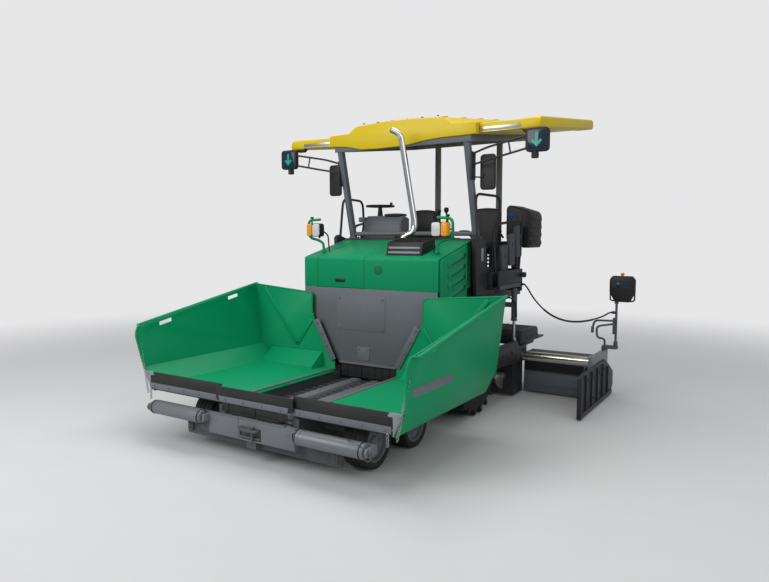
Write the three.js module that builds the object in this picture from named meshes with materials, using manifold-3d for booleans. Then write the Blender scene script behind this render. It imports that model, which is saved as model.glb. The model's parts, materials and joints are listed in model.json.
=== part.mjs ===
// Wheeled asphalt paver: tractor with a folding hopper, two conveyors, augers and an extending screed.
// Millimetres, +Z up, front towards -Y, the machine's left towards +X.
// While the pieces are built, Y = 0 is the rear of the hopper and Z = 0 is the ground.
// At the end the whole group moves so that its origin is the centre of its footprint.

import * as THREE from 'three';
import { mergeVertices } from 'three/addons/utils/BufferGeometryUtils.js';
import Module from 'manifold-3d';

const wasm = await Module();
wasm.setup();

// ---------- driving dimensions ----------

const SEAT_GAP = 0.4;          // between faces that touch
const RUN_GAP = 6;             // between pieces that move past each other

const REAR_WHEEL_RADIUS = 640;
const REAR_WHEEL_WIDTH = 360;
const REAR_TRACK = 1960;       // between the middles of the rear tyres
const REAR_AXLE_Y = 690;
const FRONT_WHEEL_RADIUS = 245;
const FRONT_WHEEL_WIDTH = 260;
const FRONT_TRACK = 1980;
const FRONT_WHEEL_YS = [-1500, -770];
const KINGPIN_RADIUS = 20;
const KINGPIN_SIDES = 24;
const KINGPIN_PLAY = 0.6;      // round the kingpin in its housing
const KINGPIN_INSET = 45;      // from the front wheel's inner face to its kingpin

const RAIL_IN = 560;           // main frame rails, inner face
const RAIL_THICKNESS = 100;
const RAIL_BOTTOM = 520;
const RAIL_TOP = 900;
const FRAME_REAR_Y = 1738;

const TUNNEL_HALF = 420;       // conveyor tunnel
const CONVEYOR_TOP = 400;
const CONVEYOR_REAR_Y = 1280;
const HOPPER_RAIL_THICKNESS = 80;
const HOPPER_RAIL_BOTTOM = 330;
const HOPPER_RAIL_TOP = 488;

const HOPPER_FRONT_Y = -1930;
const HOPPER_REAR_Y = -60;
const WING_REAR_Y = -26;       // rear edge of the side walls
const WING_HINGE_X = 430;
const WING_HINGE_Z = 500;
const WING_SHEET = 14;
const WING_FLOOR_INNER_Z = 530;
const WING_FLOOR_OUTER_X = 1440;
const WING_FLOOR_OUTER_Z = 572;
const WING_FOLD_X = 1680;
const WING_FOLD_Z = 742;
const WING_TOP_X = 1780;
const WING_TOP_REAR_Z = 1557;
const WING_TOP_FRONT_Z = 1194;
const WING_TIP_X = 1557;
const WING_TIP_Z = 486;
const WING_NOSE_Y = -2060;     // foremost point of the side wall

const HOOD_FRONT_Y = -18;
const HOOD_HALF = 960;
const HOOD_SHEET = 22;
const HOOD_BOTTOM = 1540;
const HOOD_FRONT_TOP = 1915;
const HOOD_REAR_Y = 860;
const HOOD_REAR_TOP = 2130;
const FLAP_X = [-750, -45];    // engine flap in the top of the hood
const FLAP_Y = [48, 780];
const DOOR_REAR_Y = 695;
const DOOR_BOTTOM = 1400;
const DOOR_THICKNESS = 28;

const BULKHEAD_THICKNESS = 20;
const BULKHEAD_TOP = HOOD_BOTTOM - SEAT_GAP;

const DECK_HALF = 1080;
const DECK_FRONT_Y = 868;
const DECK_REAR_Y = 2860;
const DECK_TOP = 1440;
const DECK_DEPTH = 130;
const DASH_DEPTH = 240;        // cabinet across the front of the operator's stand
const DASH_TOP = 2150;

const ROOF_FRONT_Y = 700;
const ROOF_REAR_Y = 3070;
const ROOF_FRONT_BOTTOM = 3390;
const ROOF_SLOPE = 0.128;      // rise towards the rear
const ROOF_HALF = 1085;
const ROOF_EXTENSION_END = 1840;
const ROOF_TRAVEL = 520;
const ROOF_SLOT = [14, 131];   // height of the slot the extension slides in

const BEAM_HALF = 560;
const BEAM_FRONT_Y = -2030;
const BEAM_REAR_Y = -1975;
const BEAM_BOTTOM = 215;
const BEAM_TOP = 420;
const ROLLER_RADIUS = 70;
const ROLLER_Y = -2060;
const ROLLER_Z = 372;
const ROLLER_X = [606, 1366];

const TOW_PIVOT_Y = 95;
const TOW_PIVOT_Z = 600;
const TOW_ARM_X = 1200;
const TOW_ARM_THICKNESS = 58;
const LIFT_ANGLE = 8;          // degrees the screed is raised
const PIN_RADIUS = 25;
const PIN_SIDES = 24;

const AUGER_Y = 1550;
const AUGER_Z = 330;
const AUGER_RADIUS = 180;
const AUGER_SHAFT = 35;
const AUGER_PITCH = 300;
const AUGER_X = [70.4, 1150];

const SCREED_FRONT_Y = 1760;
const SCREED_HALF = 1190;
const SCREED_PLATE_Z = 20;     // underside of the sole plates above the ground
const SCREED_BASE_DEPTH = 350;
const EXTENSION_Y = [2150, 2520];
const EXTENSION_X = [1200, 2180];
const EXTENSION_HEIGHT = 520;
const EXTENSION_TRAVEL = [750, 250];   // inwards and outwards
const END_PLATE_THICKNESS = 60;
const GUIDE_TUBE_RADIUS = 65;
const GUIDE_TUBE_Y = 1900;
const GUIDE_TUBE_Z = 560;
const GATE_THICKNESS = 25;
const STAND_X = 2350;
const STAND_Y = 2500;

const CABLE_FROM = [1250.3, 1900, 1530];   // where the control cable leaves the stand and where it arrives
const CABLE_TO = [2310, 2500, 1152];

const CYLINDER_X = 1229;
const CYLINDER_Y = 1650;
const ROD_RADIUS = 20;
const BARREL_RADIUS = 38;

// ---------- paints ----------

const paint = (color, roughness, metalness) => new THREE.MeshStandardMaterial({ color, roughness, metalness });
const GREEN = paint(0x008a55, 0.4, 0.0);
const GREY = paint(0x60656d, 0.5, 0.1);
const DARK = paint(0x2e3034, 0.6, 0.1);
const YELLOW = paint(0xe8c80c, 0.45, 0.0);
const RUBBER = paint(0x17181a, 0.85, 0.0);
const STEEL = paint(0xb4b6b4, 0.3, 0.9);
const CHROME = paint(0xd8dadc, 0.12, 1.0);
const BLACK = paint(0x0e0f11, 0.6, 0.0);

// ---------- shapes ----------

/** A box between two corners. */
function box(x0, x1, y0, y1, z0, z1) {
  const geometry = new THREE.BoxGeometry(x1 - x0, y1 - y0, z1 - z0);
  return geometry.translate((x0 + x1) / 2, (y0 + y1) / 2, (z0 + z1) / 2);
}

function outline(points) {
  return new THREE.Shape(points.map(([a, b]) => new THREE.Vector2(a, b)));
}

/** An outline in Y and Z, made thick along X. */
function slabX(points, x0, x1) {
  const geometry = new THREE.ExtrudeGeometry(outline(points), { depth: x1 - x0, bevelEnabled: false });
  const basis = new THREE.Matrix4().set(0, 0, 1, x0, 1, 0, 0, 0, 0, 1, 0, 0, 0, 0, 0, 1);
  return geometry.applyMatrix4(basis);
}

/** An outline in X and Z, made thick along Y. */
function slabY(points, y0, y1) {
  const geometry = new THREE.ExtrudeGeometry(outline(points), { depth: y1 - y0, bevelEnabled: false });
  const basis = new THREE.Matrix4().set(1, 0, 0, 0, 0, 0, -1, y1, 0, 1, 0, 0, 0, 0, 0, 1);
  return geometry.applyMatrix4(basis);
}

/** A cylinder from one end to the other along 'x', 'y' or 'z', with its middle on the other two coordinates. */
function bar(axis, radius, from, to, a, b, sides = 12) {
  const geometry = new THREE.CylinderGeometry(radius, radius, to - from, sides);
  const mid = (from + to) / 2;
  if (axis === 'x') return geometry.rotateZ(-Math.PI / 2).translate(mid, a, b);
  if (axis === 'y') return geometry.translate(a, mid, b);
  return geometry.rotateX(Math.PI / 2).translate(a, b, mid);
}

/** A round tube through the points, its corners rounded with the given radius. */
function tube(points, radius, { bend = 60, steps = 12, sides = 6 } = {}) {
  const at = points.map((p) => new THREE.Vector3(...p));
  const path = new THREE.CurvePath();
  let from = at[0];
  for (let i = 1; i < at.length - 1; i += 1) {
    const back = from.clone().sub(at[i]);
    const ahead = at[i + 1].clone().sub(at[i]);
    const enter = at[i].clone().addScaledVector(back.clone().normalize(), Math.min(bend, back.length() * 0.9));
    const leave = at[i].clone().addScaledVector(ahead.clone().normalize(), Math.min(bend, ahead.length() * 0.45));
    path.add(new THREE.LineCurve3(from, enter));
    path.add(new THREE.QuadraticBezierCurve3(enter, at[i], leave));
    from = leave;
  }
  path.add(new THREE.LineCurve3(from, at[at.length - 1]));
  return sweep(path, radius, steps, sides);
}

/** A round section carried along a curve. */
function sweep(path, radius, steps, sides) {
  const ring = Array.from({ length: sides }, (_, i) => {
    const angle = (i / sides) * Math.PI * 2;
    return [radius * Math.cos(angle), radius * Math.sin(angle)];
  });
  return new THREE.ExtrudeGeometry(outline(ring), { extrudePath: path, steps, bevelEnabled: false });
}

// ---------- cutting and joining ----------

function toSolid(geometry) {
  const bare = geometry.clone();
  bare.deleteAttribute('normal');
  bare.deleteAttribute('uv');
  const merged = mergeVertices(bare, 1e-3);
  return new wasm.Manifold(new wasm.Mesh({
    numProp: 3,
    vertProperties: new Float32Array(merged.attributes.position.array),
    triVerts: new Uint32Array(merged.index.array),
  }));
}

function toGeometry(solid) {
  const mesh = solid.getMesh();
  const geometry = new THREE.BufferGeometry();
  const xyz = new Float32Array(mesh.numVert * 3);
  for (let i = 0; i < mesh.numVert; i += 1) xyz.set(mesh.position(i), i * 3);
  geometry.setAttribute('position', new THREE.BufferAttribute(xyz, 3));
  geometry.setIndex(new THREE.BufferAttribute(new Uint32Array(mesh.triVerts), 1));
  geometry.computeVertexNormals();
  return geometry;
}

/** Joins geometries that overlap into one solid. */
function join(...geometries) {
  return toGeometry(geometries.map(toSolid).reduce((all, next) => all.add(next)));
}

/** Cuts the tools out of a solid. */
function cut(base, ...tools) {
  return toGeometry(tools.map(toSolid).reduce((left, tool) => left.subtract(tool), toSolid(base)));
}

/** What two solids have in common. */
function common(a, b) {
  return toGeometry(toSolid(a).intersect(toSolid(b)));
}

/** The same solid on the other side of the machine's middle plane. */
function mirrored(geometry) {
  const copy = geometry.index ? geometry.clone() : mergeVertices(geometry.clone());
  copy.applyMatrix4(new THREE.Matrix4().makeScale(-1, 1, 1));
  const index = copy.index;
  for (let i = 0; i < index.count; i += 3) {
    const second = index.getX(i + 1);
    index.setX(i + 1, index.getX(i + 2));
    index.setX(i + 2, second);
  }
  copy.computeVertexNormals();
  return copy;
}

// ---------- the assembly ----------

const paver = new THREE.Group();

function piece(name, geometry, material) {
  const mesh = new THREE.Mesh(geometry, material);
  mesh.name = name;
  paver.add(mesh);
  return mesh;
}

/** A left piece and its mirror image on the right. */
function pair(name, geometry, material) {
  piece(`${name}_left`, geometry, material);
  piece(`${name}_right`, mirrored(geometry), material);
}

// ---------- wheels and axles ----------

/** A wheel on the X axis, its outer face towards +X, with a blind hole for its stub axle. */
function wheel({ radius, width, rim, hub, dish, bore, boreEnd, sides }) {
  const half = width / 2;
  const shoulder = radius * 0.09;
  const profile = [
    [0, half - dish + 30], [hub, half - dish + 30], [hub, half - dish], [rim * 0.9, half - dish], [rim, half - 10],
    [radius - shoulder, half], [radius, half - shoulder * 1.6], [radius, -half + shoulder * 1.6], [radius - shoulder, -half],
    [bore, -half + 10], [bore, boreEnd], [0, boreEnd],
  ];
  const points = profile.map(([r, x]) => new THREE.Vector2(r, x)).reverse();
  return new THREE.LatheGeometry(points, sides).rotateZ(-Math.PI / 2);
}

const STUB_RADIUS = 32;
const REAR_STUB_RADIUS = 90;
const REAR_STUB_PLAY = 0.9;       // round the rear stub axle in its hub
const rearX = REAR_TRACK / 2;
const frontX = FRONT_TRACK / 2;
const kingpinX = frontX - FRONT_WHEEL_WIDTH / 2 - KINGPIN_INSET;

const rearWheel = wheel({
  radius: REAR_WHEEL_RADIUS, width: REAR_WHEEL_WIDTH, rim: 330, hub: 120, dish: 110,
  bore: REAR_STUB_RADIUS + REAR_STUB_PLAY, boreEnd: 40, sides: 28,
}).translate(rearX, REAR_AXLE_Y, REAR_WHEEL_RADIUS);
pair('rear_wheel', rearWheel, RUBBER);

const AXLE_RADIUS = 110;
const rearAxle = join(
  bar('x', AXLE_RADIUS, -760, 760, REAR_AXLE_Y, REAR_WHEEL_RADIUS, 28),
  bar('x', REAR_STUB_RADIUS, -rearX - 40 + SEAT_GAP, rearX + 40 - SEAT_GAP, REAR_AXLE_Y, REAR_WHEEL_RADIUS, 28),
);
piece('rear_axle', rearAxle, GREY);

const KING_HOUSING = [305, 395];
const frontWheel = wheel({
  radius: FRONT_WHEEL_RADIUS, width: FRONT_WHEEL_WIDTH, rim: 165, hub: 48, dish: 60,
  bore: STUB_RADIUS + SEAT_GAP, boreEnd: 10, sides: 24,
});
for (const [place, y] of [['front', FRONT_WHEEL_YS[0]], ['second', FRONT_WHEEL_YS[1]]]) {
  pair(`${place}_wheel`, frontWheel.clone().translate(frontX, y, FRONT_WHEEL_RADIUS), RUBBER);
  const knuckle = join(
    bar('z', KINGPIN_RADIUS, 250, KING_HOUSING[1] + 10, kingpinX, y, KINGPIN_SIDES),
    bar('z', KINGPIN_RADIUS + 10, KING_HOUSING[1] + SEAT_GAP, KING_HOUSING[1] + 12, kingpinX, y, KINGPIN_SIDES),
    box(kingpinX - 28, kingpinX + 28, y - 36, y + 36, 190, KING_HOUSING[0] - SEAT_GAP),
    bar('x', STUB_RADIUS, kingpinX, frontX + 10 - SEAT_GAP, y, FRONT_WHEEL_RADIUS, 24),
  );
  pair(`${place}_knuckle`, knuckle, GREY);
}

// ---------- frame ----------

const BRACKET_Y = [5, 40];
const HANGER_Z = [1240, 1300];
const CROSSBEAM_Y = [-1925, -1880];
const CROSSBEAM_Z = [120, 250];
const hopperRailOuter = TUNNEL_HALF + 20 + HOPPER_RAIL_THICKNESS;
const barrelZ = [1060, 1490];
const LUG_YS = [-1880, -1000, -140];
const LUG_THICKNESS = 24;

const frameHalf = join(
  box(RAIL_IN, RAIL_IN + RAIL_THICKNESS, 20, FRAME_REAR_Y, RAIL_BOTTOM, RAIL_TOP),
  box(TUNNEL_HALF + 20, hopperRailOuter, CROSSBEAM_Y[0], 140, HOPPER_RAIL_BOTTOM, HOPPER_RAIL_TOP),
  box(TUNNEL_HALF + 20, RAIL_IN + RAIL_THICKNESS, 20, 140, HOPPER_RAIL_BOTTOM, RAIL_BOTTOM + 40),
  box(TUNNEL_HALF + 20, hopperRailOuter, CROSSBEAM_Y[0], -1850, CROSSBEAM_Z[0], HOPPER_RAIL_BOTTOM + 20),
  ...[60, 980, 1400].map((y) => box(-10, RAIL_IN + 10, y, y + 80, 640, RAIL_TOP - 20)),
  box(-10, 1100, CROSSBEAM_Y[0], CROSSBEAM_Y[1], ...CROSSBEAM_Z),
  ...FRONT_WHEEL_YS.map((y) => box(hopperRailOuter - 5, kingpinX, y - 36, y + 36, ...KING_HOUSING)),
  ...FRONT_WHEEL_YS.map((y) => bar('z', 36, ...KING_HOUSING, kingpinX, y, 12)),
  box(RAIL_IN + 20, TOW_ARM_X - 4, ...BRACKET_Y, 540, 700),
  box(TOW_ARM_X - 32, TOW_ARM_X - SEAT_GAP, BRACKET_Y[0], TOW_PIVOT_Y + 55, TOW_PIVOT_Z - 70, TOW_PIVOT_Z + 90),
  bar('x', PIN_RADIUS, TOW_ARM_X - 20, TOW_ARM_X + TOW_ARM_THICKNESS + 14, TOW_PIVOT_Y, TOW_PIVOT_Z, PIN_SIDES),
  box(RAIL_IN, RAIL_IN + RAIL_THICKNESS, 940, 1020, RAIL_TOP - 10, DECK_TOP - DECK_DEPTH - SEAT_GAP),
  box(RAIL_IN, RAIL_IN + RAIL_THICKNESS, 1600, 1700, RAIL_TOP - 10, DECK_TOP - DECK_DEPTH - SEAT_GAP),
  box(RAIL_IN, CYLINDER_X, 1612, 1688, ...HANGER_Z),
  bar('z', BARREL_RADIUS, ...barrelZ, CYLINDER_X, CYLINDER_Y, 16),
  ...LUG_YS.map((y) => slabY([
    [TUNNEL_HALF + 20, HOPPER_RAIL_TOP - 20], [TUNNEL_HALF + 50, HOPPER_RAIL_TOP - 20],
    [TUNNEL_HALF + 36, HOPPER_RAIL_TOP + 22], [TUNNEL_HALF, HOPPER_RAIL_TOP + 22], [TUNNEL_HALF, HOPPER_RAIL_TOP],
  ], y, y + LUG_THICKNESS)),
);
const frameBores = [
  bar('x', AXLE_RADIUS + SEAT_GAP, RAIL_IN - 20, RAIL_IN + RAIL_THICKNESS + 20, REAR_AXLE_Y, REAR_WHEEL_RADIUS, 28),
  ...FRONT_WHEEL_YS.map((y) => bar('z', KINGPIN_RADIUS + KINGPIN_PLAY, 280, 420, kingpinX, y, KINGPIN_SIDES)),
  bar('z', ROD_RADIUS + SEAT_GAP, barrelZ[0] - 10, barrelZ[1] - 8, CYLINDER_X, CYLINDER_Y, 12),
];
const frameLeft = cut(frameHalf, ...frameBores);
const tongue = join(
  box(-60, 60, -2016, CROSSBEAM_Y[0] + 10, CROSSBEAM_Z[0] + 20, BEAM_BOTTOM - SEAT_GAP - 6),
  bar('z', PIN_RADIUS, CROSSBEAM_Z[0] + 40, BEAM_BOTTOM + 120, 0, (BEAM_FRONT_Y + BEAM_REAR_Y) / 2 + 6, PIN_SIDES),
);
const augerGearbox = join(
  box(-70, 70, AUGER_Y - 70, AUGER_Y + 70, AUGER_Z - 90, AUGER_Z + 90),
  box(-45, 45, 1440, AUGER_Y + 40, AUGER_Z + 60, 760),
);
piece('chassis_frame', join(frameLeft, mirrored(frameLeft), tongue, augerGearbox), GREY);

piece('engine_block', box(-520, 520, 100, 790, RAIL_TOP - 20 + SEAT_GAP, 1480), DARK);

// ---------- conveyors ----------

const COVER_X = [70, 230];
const coverPlate = (sign) => slabY(
  [[0, 0], [COVER_X[1] - COVER_X[0], 0], [COVER_X[1] - COVER_X[0] - 20, 34], [20, 34]]
    .map(([x, z]) => [sign * (COVER_X[0] + x), CONVEYOR_TOP - 4 + z])
    .slice(), HOPPER_FRONT_Y + 60, -20,
);
piece('conveyor_deck', join(
  box(-TUNNEL_HALF + 4, TUNNEL_HALF - 4, HOPPER_FRONT_Y + 20, CONVEYOR_REAR_Y, CONVEYOR_TOP - 50, CONVEYOR_TOP),
  coverPlate(1), coverPlate(-1),
  box(-TUNNEL_HALF - 20 + SEAT_GAP, TUNNEL_HALF + 20 - SEAT_GAP, -1700, -1500, CONVEYOR_TOP - 60, CONVEYOR_TOP - 20),
  box(-TUNNEL_HALF - 20 + SEAT_GAP, TUNNEL_HALF + 20 - SEAT_GAP, -400, -200, CONVEYOR_TOP - 60, CONVEYOR_TOP - 20),
), DARK);

// ---------- hopper ----------

const BULKHEAD_SHOULDER_Z = 1180;
const bulkheadHalf = [
  [TUNNEL_HALF + 6, 600], [790, BULKHEAD_SHOULDER_Z], [HOOD_HALF - 4, BULKHEAD_SHOULDER_Z + 60], [HOOD_HALF - 4, BULKHEAD_TOP],
];
piece('bulkhead', join(
  slabY([...bulkheadHalf, ...bulkheadHalf.map(([x, z]) => [-x, z]).reverse()], -BULKHEAD_THICKNESS, 0),
  box(-RAIL_IN - 60, -RAIL_IN - 20, -10, 20 - SEAT_GAP, 800, 1000),
  box(RAIL_IN + 20, RAIL_IN + 60, -10, 20 - SEAT_GAP, 800, 1000),
), GREY);

const wingTopZ = (y) => WING_TOP_REAR_Z + ((WING_TOP_REAR_Z - WING_TOP_FRONT_Z) / 1960) * y;
const wingSection = [
  [WING_HINGE_X + 15, WING_FLOOR_INNER_Z], [WING_HINGE_X + 15, WING_FLOOR_INNER_Z - WING_SHEET],
  [WING_FLOOR_OUTER_X, WING_FLOOR_OUTER_Z - WING_SHEET - 4], [WING_TIP_X - 22, WING_TIP_Z], [WING_TIP_X, WING_TIP_Z],
  [WING_FOLD_X, WING_FOLD_Z], [WING_TOP_X, WING_TOP_REAR_Z + 4], [WING_TOP_X - WING_SHEET, WING_TOP_REAR_Z + 4],
  [WING_FOLD_X - WING_SHEET, WING_FOLD_Z + 4], [WING_FLOOR_OUTER_X, WING_FLOOR_OUTER_Z],
];
const noseArc = Array.from({ length: 7 }, (_, i) => {
  const angle = (i / 6) * (Math.PI / 2 - 0.2);
  return [WING_NOSE_Y + 130 - 130 * Math.cos(angle), 1075 + 122 * Math.sin(angle)];
});
const wingSide = [
  [WING_REAR_Y, WING_TIP_Z - 10], [WING_REAR_Y, wingTopZ(WING_REAR_Y)], ...noseArc.reverse(),
  [HOPPER_FRONT_Y, WING_FOLD_Z - 30], [HOPPER_FRONT_Y + 20, WING_TIP_Z - 10],
];
const wingFloorSide = [
  [HOPPER_REAR_Y, WING_TIP_Z - 10], [HOPPER_REAR_Y, 2000], [-2200, 2000], [-2200, 900],
  [HOPPER_FRONT_Y, WING_FOLD_Z - 30], [HOPPER_FRONT_Y + 20, WING_TIP_Z - 10],
];
const wingShell = common(slabY(wingSection, -2200, 0), slabX(wingSide, 400, 1900));
const wingBody = common(wingShell, join(slabX(wingFloorSide, 400, WING_FOLD_X - 60), slabX(wingSide, WING_FOLD_X - 150, 1900)));
const wingRear = slabY([
  [WING_HINGE_X + 20, WING_FLOOR_INNER_Z - 8], [WING_FLOOR_OUTER_X, WING_FLOOR_OUTER_Z - 10], [WING_FOLD_X - 6, WING_FOLD_Z],
  [WING_TOP_X - 8, wingTopZ(HOPPER_REAR_Y)], [830, 1478], [797, 1450], [797, 1190], [WING_HINGE_X + 20, 610],
], HOPPER_REAR_Y - WING_SHEET, HOPPER_REAR_Y);
const rearSlope = slabX([
  [HOPPER_REAR_Y - 4, WING_FOLD_Z], [HOPPER_REAR_Y - 4, WING_FLOOR_INNER_Z - 4], [-300, WING_FLOOR_INNER_Z - 4], [-300, 566],
], 640, WING_FLOOR_OUTER_X + 30);
const topFlange = slabX([
  [WING_REAR_Y, wingTopZ(WING_REAR_Y) - 12], [WING_REAR_Y, wingTopZ(WING_REAR_Y) + 2],
  [-1920, wingTopZ(-1920) + 2], [-1920, wingTopZ(-1920) - 12],
], WING_TOP_X - 20, WING_TOP_X + 22);
const slot = (y0, y1, drop) => slabX([
  [y0, wingTopZ(y0) - drop], [y1, wingTopZ(y1) - drop], [y1, wingTopZ(y1) - drop - 44], [y0, wingTopZ(y0) - drop - 44],
], 1650, 1900);
const KNUCKLE_RADIUS = 13;
const hingeRoll = [[LUG_YS[0] + LUG_THICKNESS, LUG_YS[1]], [LUG_YS[1] + LUG_THICKNESS, LUG_YS[2]]].map(([y0, y1]) => join(
  bar('y', KNUCKLE_RADIUS, y0 + SEAT_GAP, y1 - SEAT_GAP, WING_HINGE_X, WING_HINGE_Z + 8, 12),
  box(WING_HINGE_X, WING_HINGE_X + 40, y0 + 60, y1 - 60, WING_HINGE_Z + 14, WING_HINGE_Z + 20),
));
const wing = cut(
  join(wingBody, wingRear, rearSlope, topFlange, ...hingeRoll),
  slot(-1680, -1500, 36), slot(-600, -420, 36),
);
pair('hopper_wing', wing, GREEN);

// rubber flaps with their clamp strips across the front of the hopper
const APRON_Y = HOPPER_FRONT_Y - 6;
const apronSide = join(
  slabX([[APRON_Y, 520], [APRON_Y, 640], [APRON_Y + 6, 700], [APRON_Y - 4, 700], [APRON_Y - 16, 640], [APRON_Y - 16, 520]], 470, 1552),
  box(480, 1545, APRON_Y - 30, APRON_Y - 10, 524, 590),
  box(480, 1500, APRON_Y - 10, HOPPER_FRONT_Y + 14.6 - SEAT_GAP, 528, 540),
);
pair('apron_flap', apronSide, RUBBER);
const MIDDLE_FLAP_Y = APRON_Y - 38;
piece('apron_flap_middle', join(
  box(-430, 430, MIDDLE_FLAP_Y - 14, MIDDLE_FLAP_Y, 432, 690),
  box(-400, 400, MIDDLE_FLAP_Y - 26, MIDDLE_FLAP_Y - 10, 500, 560),
  box(-300, 300, MIDDLE_FLAP_Y - 10, HOPPER_FRONT_Y + 40, CONVEYOR_TOP + SEAT_GAP + 30, CONVEYOR_TOP + SEAT_GAP + 42),
  box(-50, 50, HOPPER_FRONT_Y + 24, HOPPER_FRONT_Y + 54, CONVEYOR_TOP + SEAT_GAP, CONVEYOR_TOP + SEAT_GAP + 42),
), RUBBER);

// ---------- push rollers ----------

const beamMidY = (BEAM_FRONT_Y + BEAM_REAR_Y) / 2;
const beamHalf = join(
  box(-10, BEAM_HALF, BEAM_FRONT_Y, BEAM_REAR_Y, BEAM_BOTTOM, BEAM_TOP),
  box(BEAM_HALF - 20, ROLLER_X[1] + 40, -1972, -1956, ROLLER_Z - 40, ROLLER_Z + 40),
  box(BEAM_HALF - 20, BEAM_HALF + 40, BEAM_REAR_Y - 20, -1960, ROLLER_Z - 40, ROLLER_Z + 40),
  slabX([[-1960, ROLLER_Z - 40], [-1960, ROLLER_Z + 40], [ROLLER_Y - 40, ROLLER_Z + 36], [ROLLER_Y - 40, ROLLER_Z - 36]],
    ROLLER_X[1] + 6, ROLLER_X[1] + 40),
  slabX([[-1970, ROLLER_Z - 40], [-1970, ROLLER_Z + 40], [ROLLER_Y - 40, ROLLER_Z + 36], [ROLLER_Y - 40, ROLLER_Z - 36]],
    BEAM_HALF - 4, BEAM_HALF + 24),
  bar('x', 20, BEAM_HALF + 10, ROLLER_X[0] + 40, ROLLER_Y, ROLLER_Z, 12),
  bar('x', 20, ROLLER_X[1] - 40, ROLLER_X[1] + 20, ROLLER_Y, ROLLER_Z, 12),
);
const pinBore = bar('z', PIN_RADIUS + SEAT_GAP, BEAM_BOTTOM - 10, BEAM_BOTTOM + 122, 0, beamMidY + 6, PIN_SIDES);
const hookNotch = box(-75, 75, BEAM_FRONT_Y - 10, BEAM_FRONT_Y + 24, 250, 340);
piece('roller_beam', cut(
  join(beamHalf, mirrored(beamHalf), box(-52, 52, BEAM_REAR_Y - 50, BEAM_REAR_Y + 26, BEAM_BOTTOM, BEAM_TOP)), pinBore, hookNotch,
), GREY);
const roller = cut(
  bar('x', ROLLER_RADIUS, ...ROLLER_X, ROLLER_Y, ROLLER_Z, 28),
  bar('x', 20 + SEAT_GAP, ROLLER_X[0] - 1, ROLLER_X[0] + 41, ROLLER_Y, ROLLER_Z, 12),
  bar('x', 20 + SEAT_GAP, ROLLER_X[1] - 41, ROLLER_X[1] + 1, ROLLER_Y, ROLLER_Z, 12),
);
pair('push_roller', roller, STEEL);

// ---------- hood ----------

const hoodTopZ = (y) => HOOD_FRONT_TOP + 15 + ((HOOD_REAR_TOP - HOOD_FRONT_TOP - 15) / (HOOD_REAR_Y - 40)) * (y - 40);
const hoodOuter = [
  [HOOD_FRONT_Y, HOOD_BOTTOM], [HOOD_FRONT_Y, HOOD_FRONT_TOP - 20], [HOOD_FRONT_Y + 14, HOOD_FRONT_TOP + 4],
  [40, hoodTopZ(40)], [HOOD_REAR_Y, HOOD_REAR_TOP],
];
const hoodSkin = [
  ...hoodOuter, [HOOD_REAR_Y, HOOD_REAR_TOP - HOOD_SHEET], [50, hoodTopZ(50) - HOOD_SHEET],
  [HOOD_FRONT_Y + HOOD_SHEET + 4, HOOD_FRONT_TOP - 20], [HOOD_FRONT_Y + HOOD_SHEET, HOOD_BOTTOM],
];
const flapOpening = box(...FLAP_X, ...FLAP_Y, HOOD_BOTTOM + 100, HOOD_REAR_TOP + 50);
const VENT_X = [190, 670];
const ventBox = slabX([[120, 1935], [150, 2085], [430, 2150], [470, 2030]], ...VENT_X);
const hoodCorner = box(HOOD_HALF - 70, HOOD_HALF, HOOD_FRONT_Y + 2, 40, HOOD_BOTTOM, HOOD_FRONT_TOP - 8);
piece('hood_shell', join(
  cut(slabX(hoodSkin, -HOOD_HALF, HOOD_HALF), flapOpening),
  hoodCorner, mirrored(hoodCorner),
  box(HOOD_HALF - 30, HOOD_HALF, 30, HOOD_REAR_Y, HOOD_BOTTOM, HOOD_BOTTOM + 30),
  box(-HOOD_HALF, -HOOD_HALF + 30, 30, HOOD_REAR_Y, HOOD_BOTTOM, HOOD_BOTTOM + 30),
  box(-HOOD_HALF, HOOD_HALF, HOOD_REAR_Y - 20, HOOD_REAR_Y, HOOD_BOTTOM, HOOD_REAR_TOP - 10),
  ventBox,
), GREEN);
const flapLedge = [[FLAP_Y[0] + RUN_GAP, 1800], [FLAP_Y[0] + RUN_GAP, 2200], [FLAP_Y[1] - SEAT_GAP, 2200], [FLAP_Y[1] - SEAT_GAP, 1800]];
piece('hood_flap', common(
  slabX(hoodSkin, FLAP_X[0] + RUN_GAP, FLAP_X[1] - RUN_GAP), slabX(flapLedge, ...FLAP_X),
), GREEN);

const doorTopZ = (y) => hoodTopZ(y) - 18;
const door = slabX([
  [16, DOOR_BOTTOM], [16, doorTopZ(40) - 50], [30, doorTopZ(40) - 12], [60, doorTopZ(60)], [DOOR_REAR_Y, doorTopZ(DOOR_REAR_Y)],
  [DOOR_REAR_Y, DOOR_BOTTOM],
], HOOD_HALF + SEAT_GAP, HOOD_HALF + DOOR_THICKNESS);
pair('side_door', door, GREEN);

// ---------- exhaust and lamps ----------

const exhaustPath = [[300, 545, 2152], [318, 552, 2250], [330, 560, 2300], [196, 450, 3390], [150, 425, 3450], [88, 398, 3490]];
piece('exhaust_pipe', join(
  tube(exhaustPath, 38, { bend: 50, steps: 18, sides: 10 }),
  slabX([[500, hoodTopZ(500) + SEAT_GAP], [500, 2160], [600, 2160], [600, hoodTopZ(600) + SEAT_GAP]], 240, 370),
), CHROME);

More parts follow.
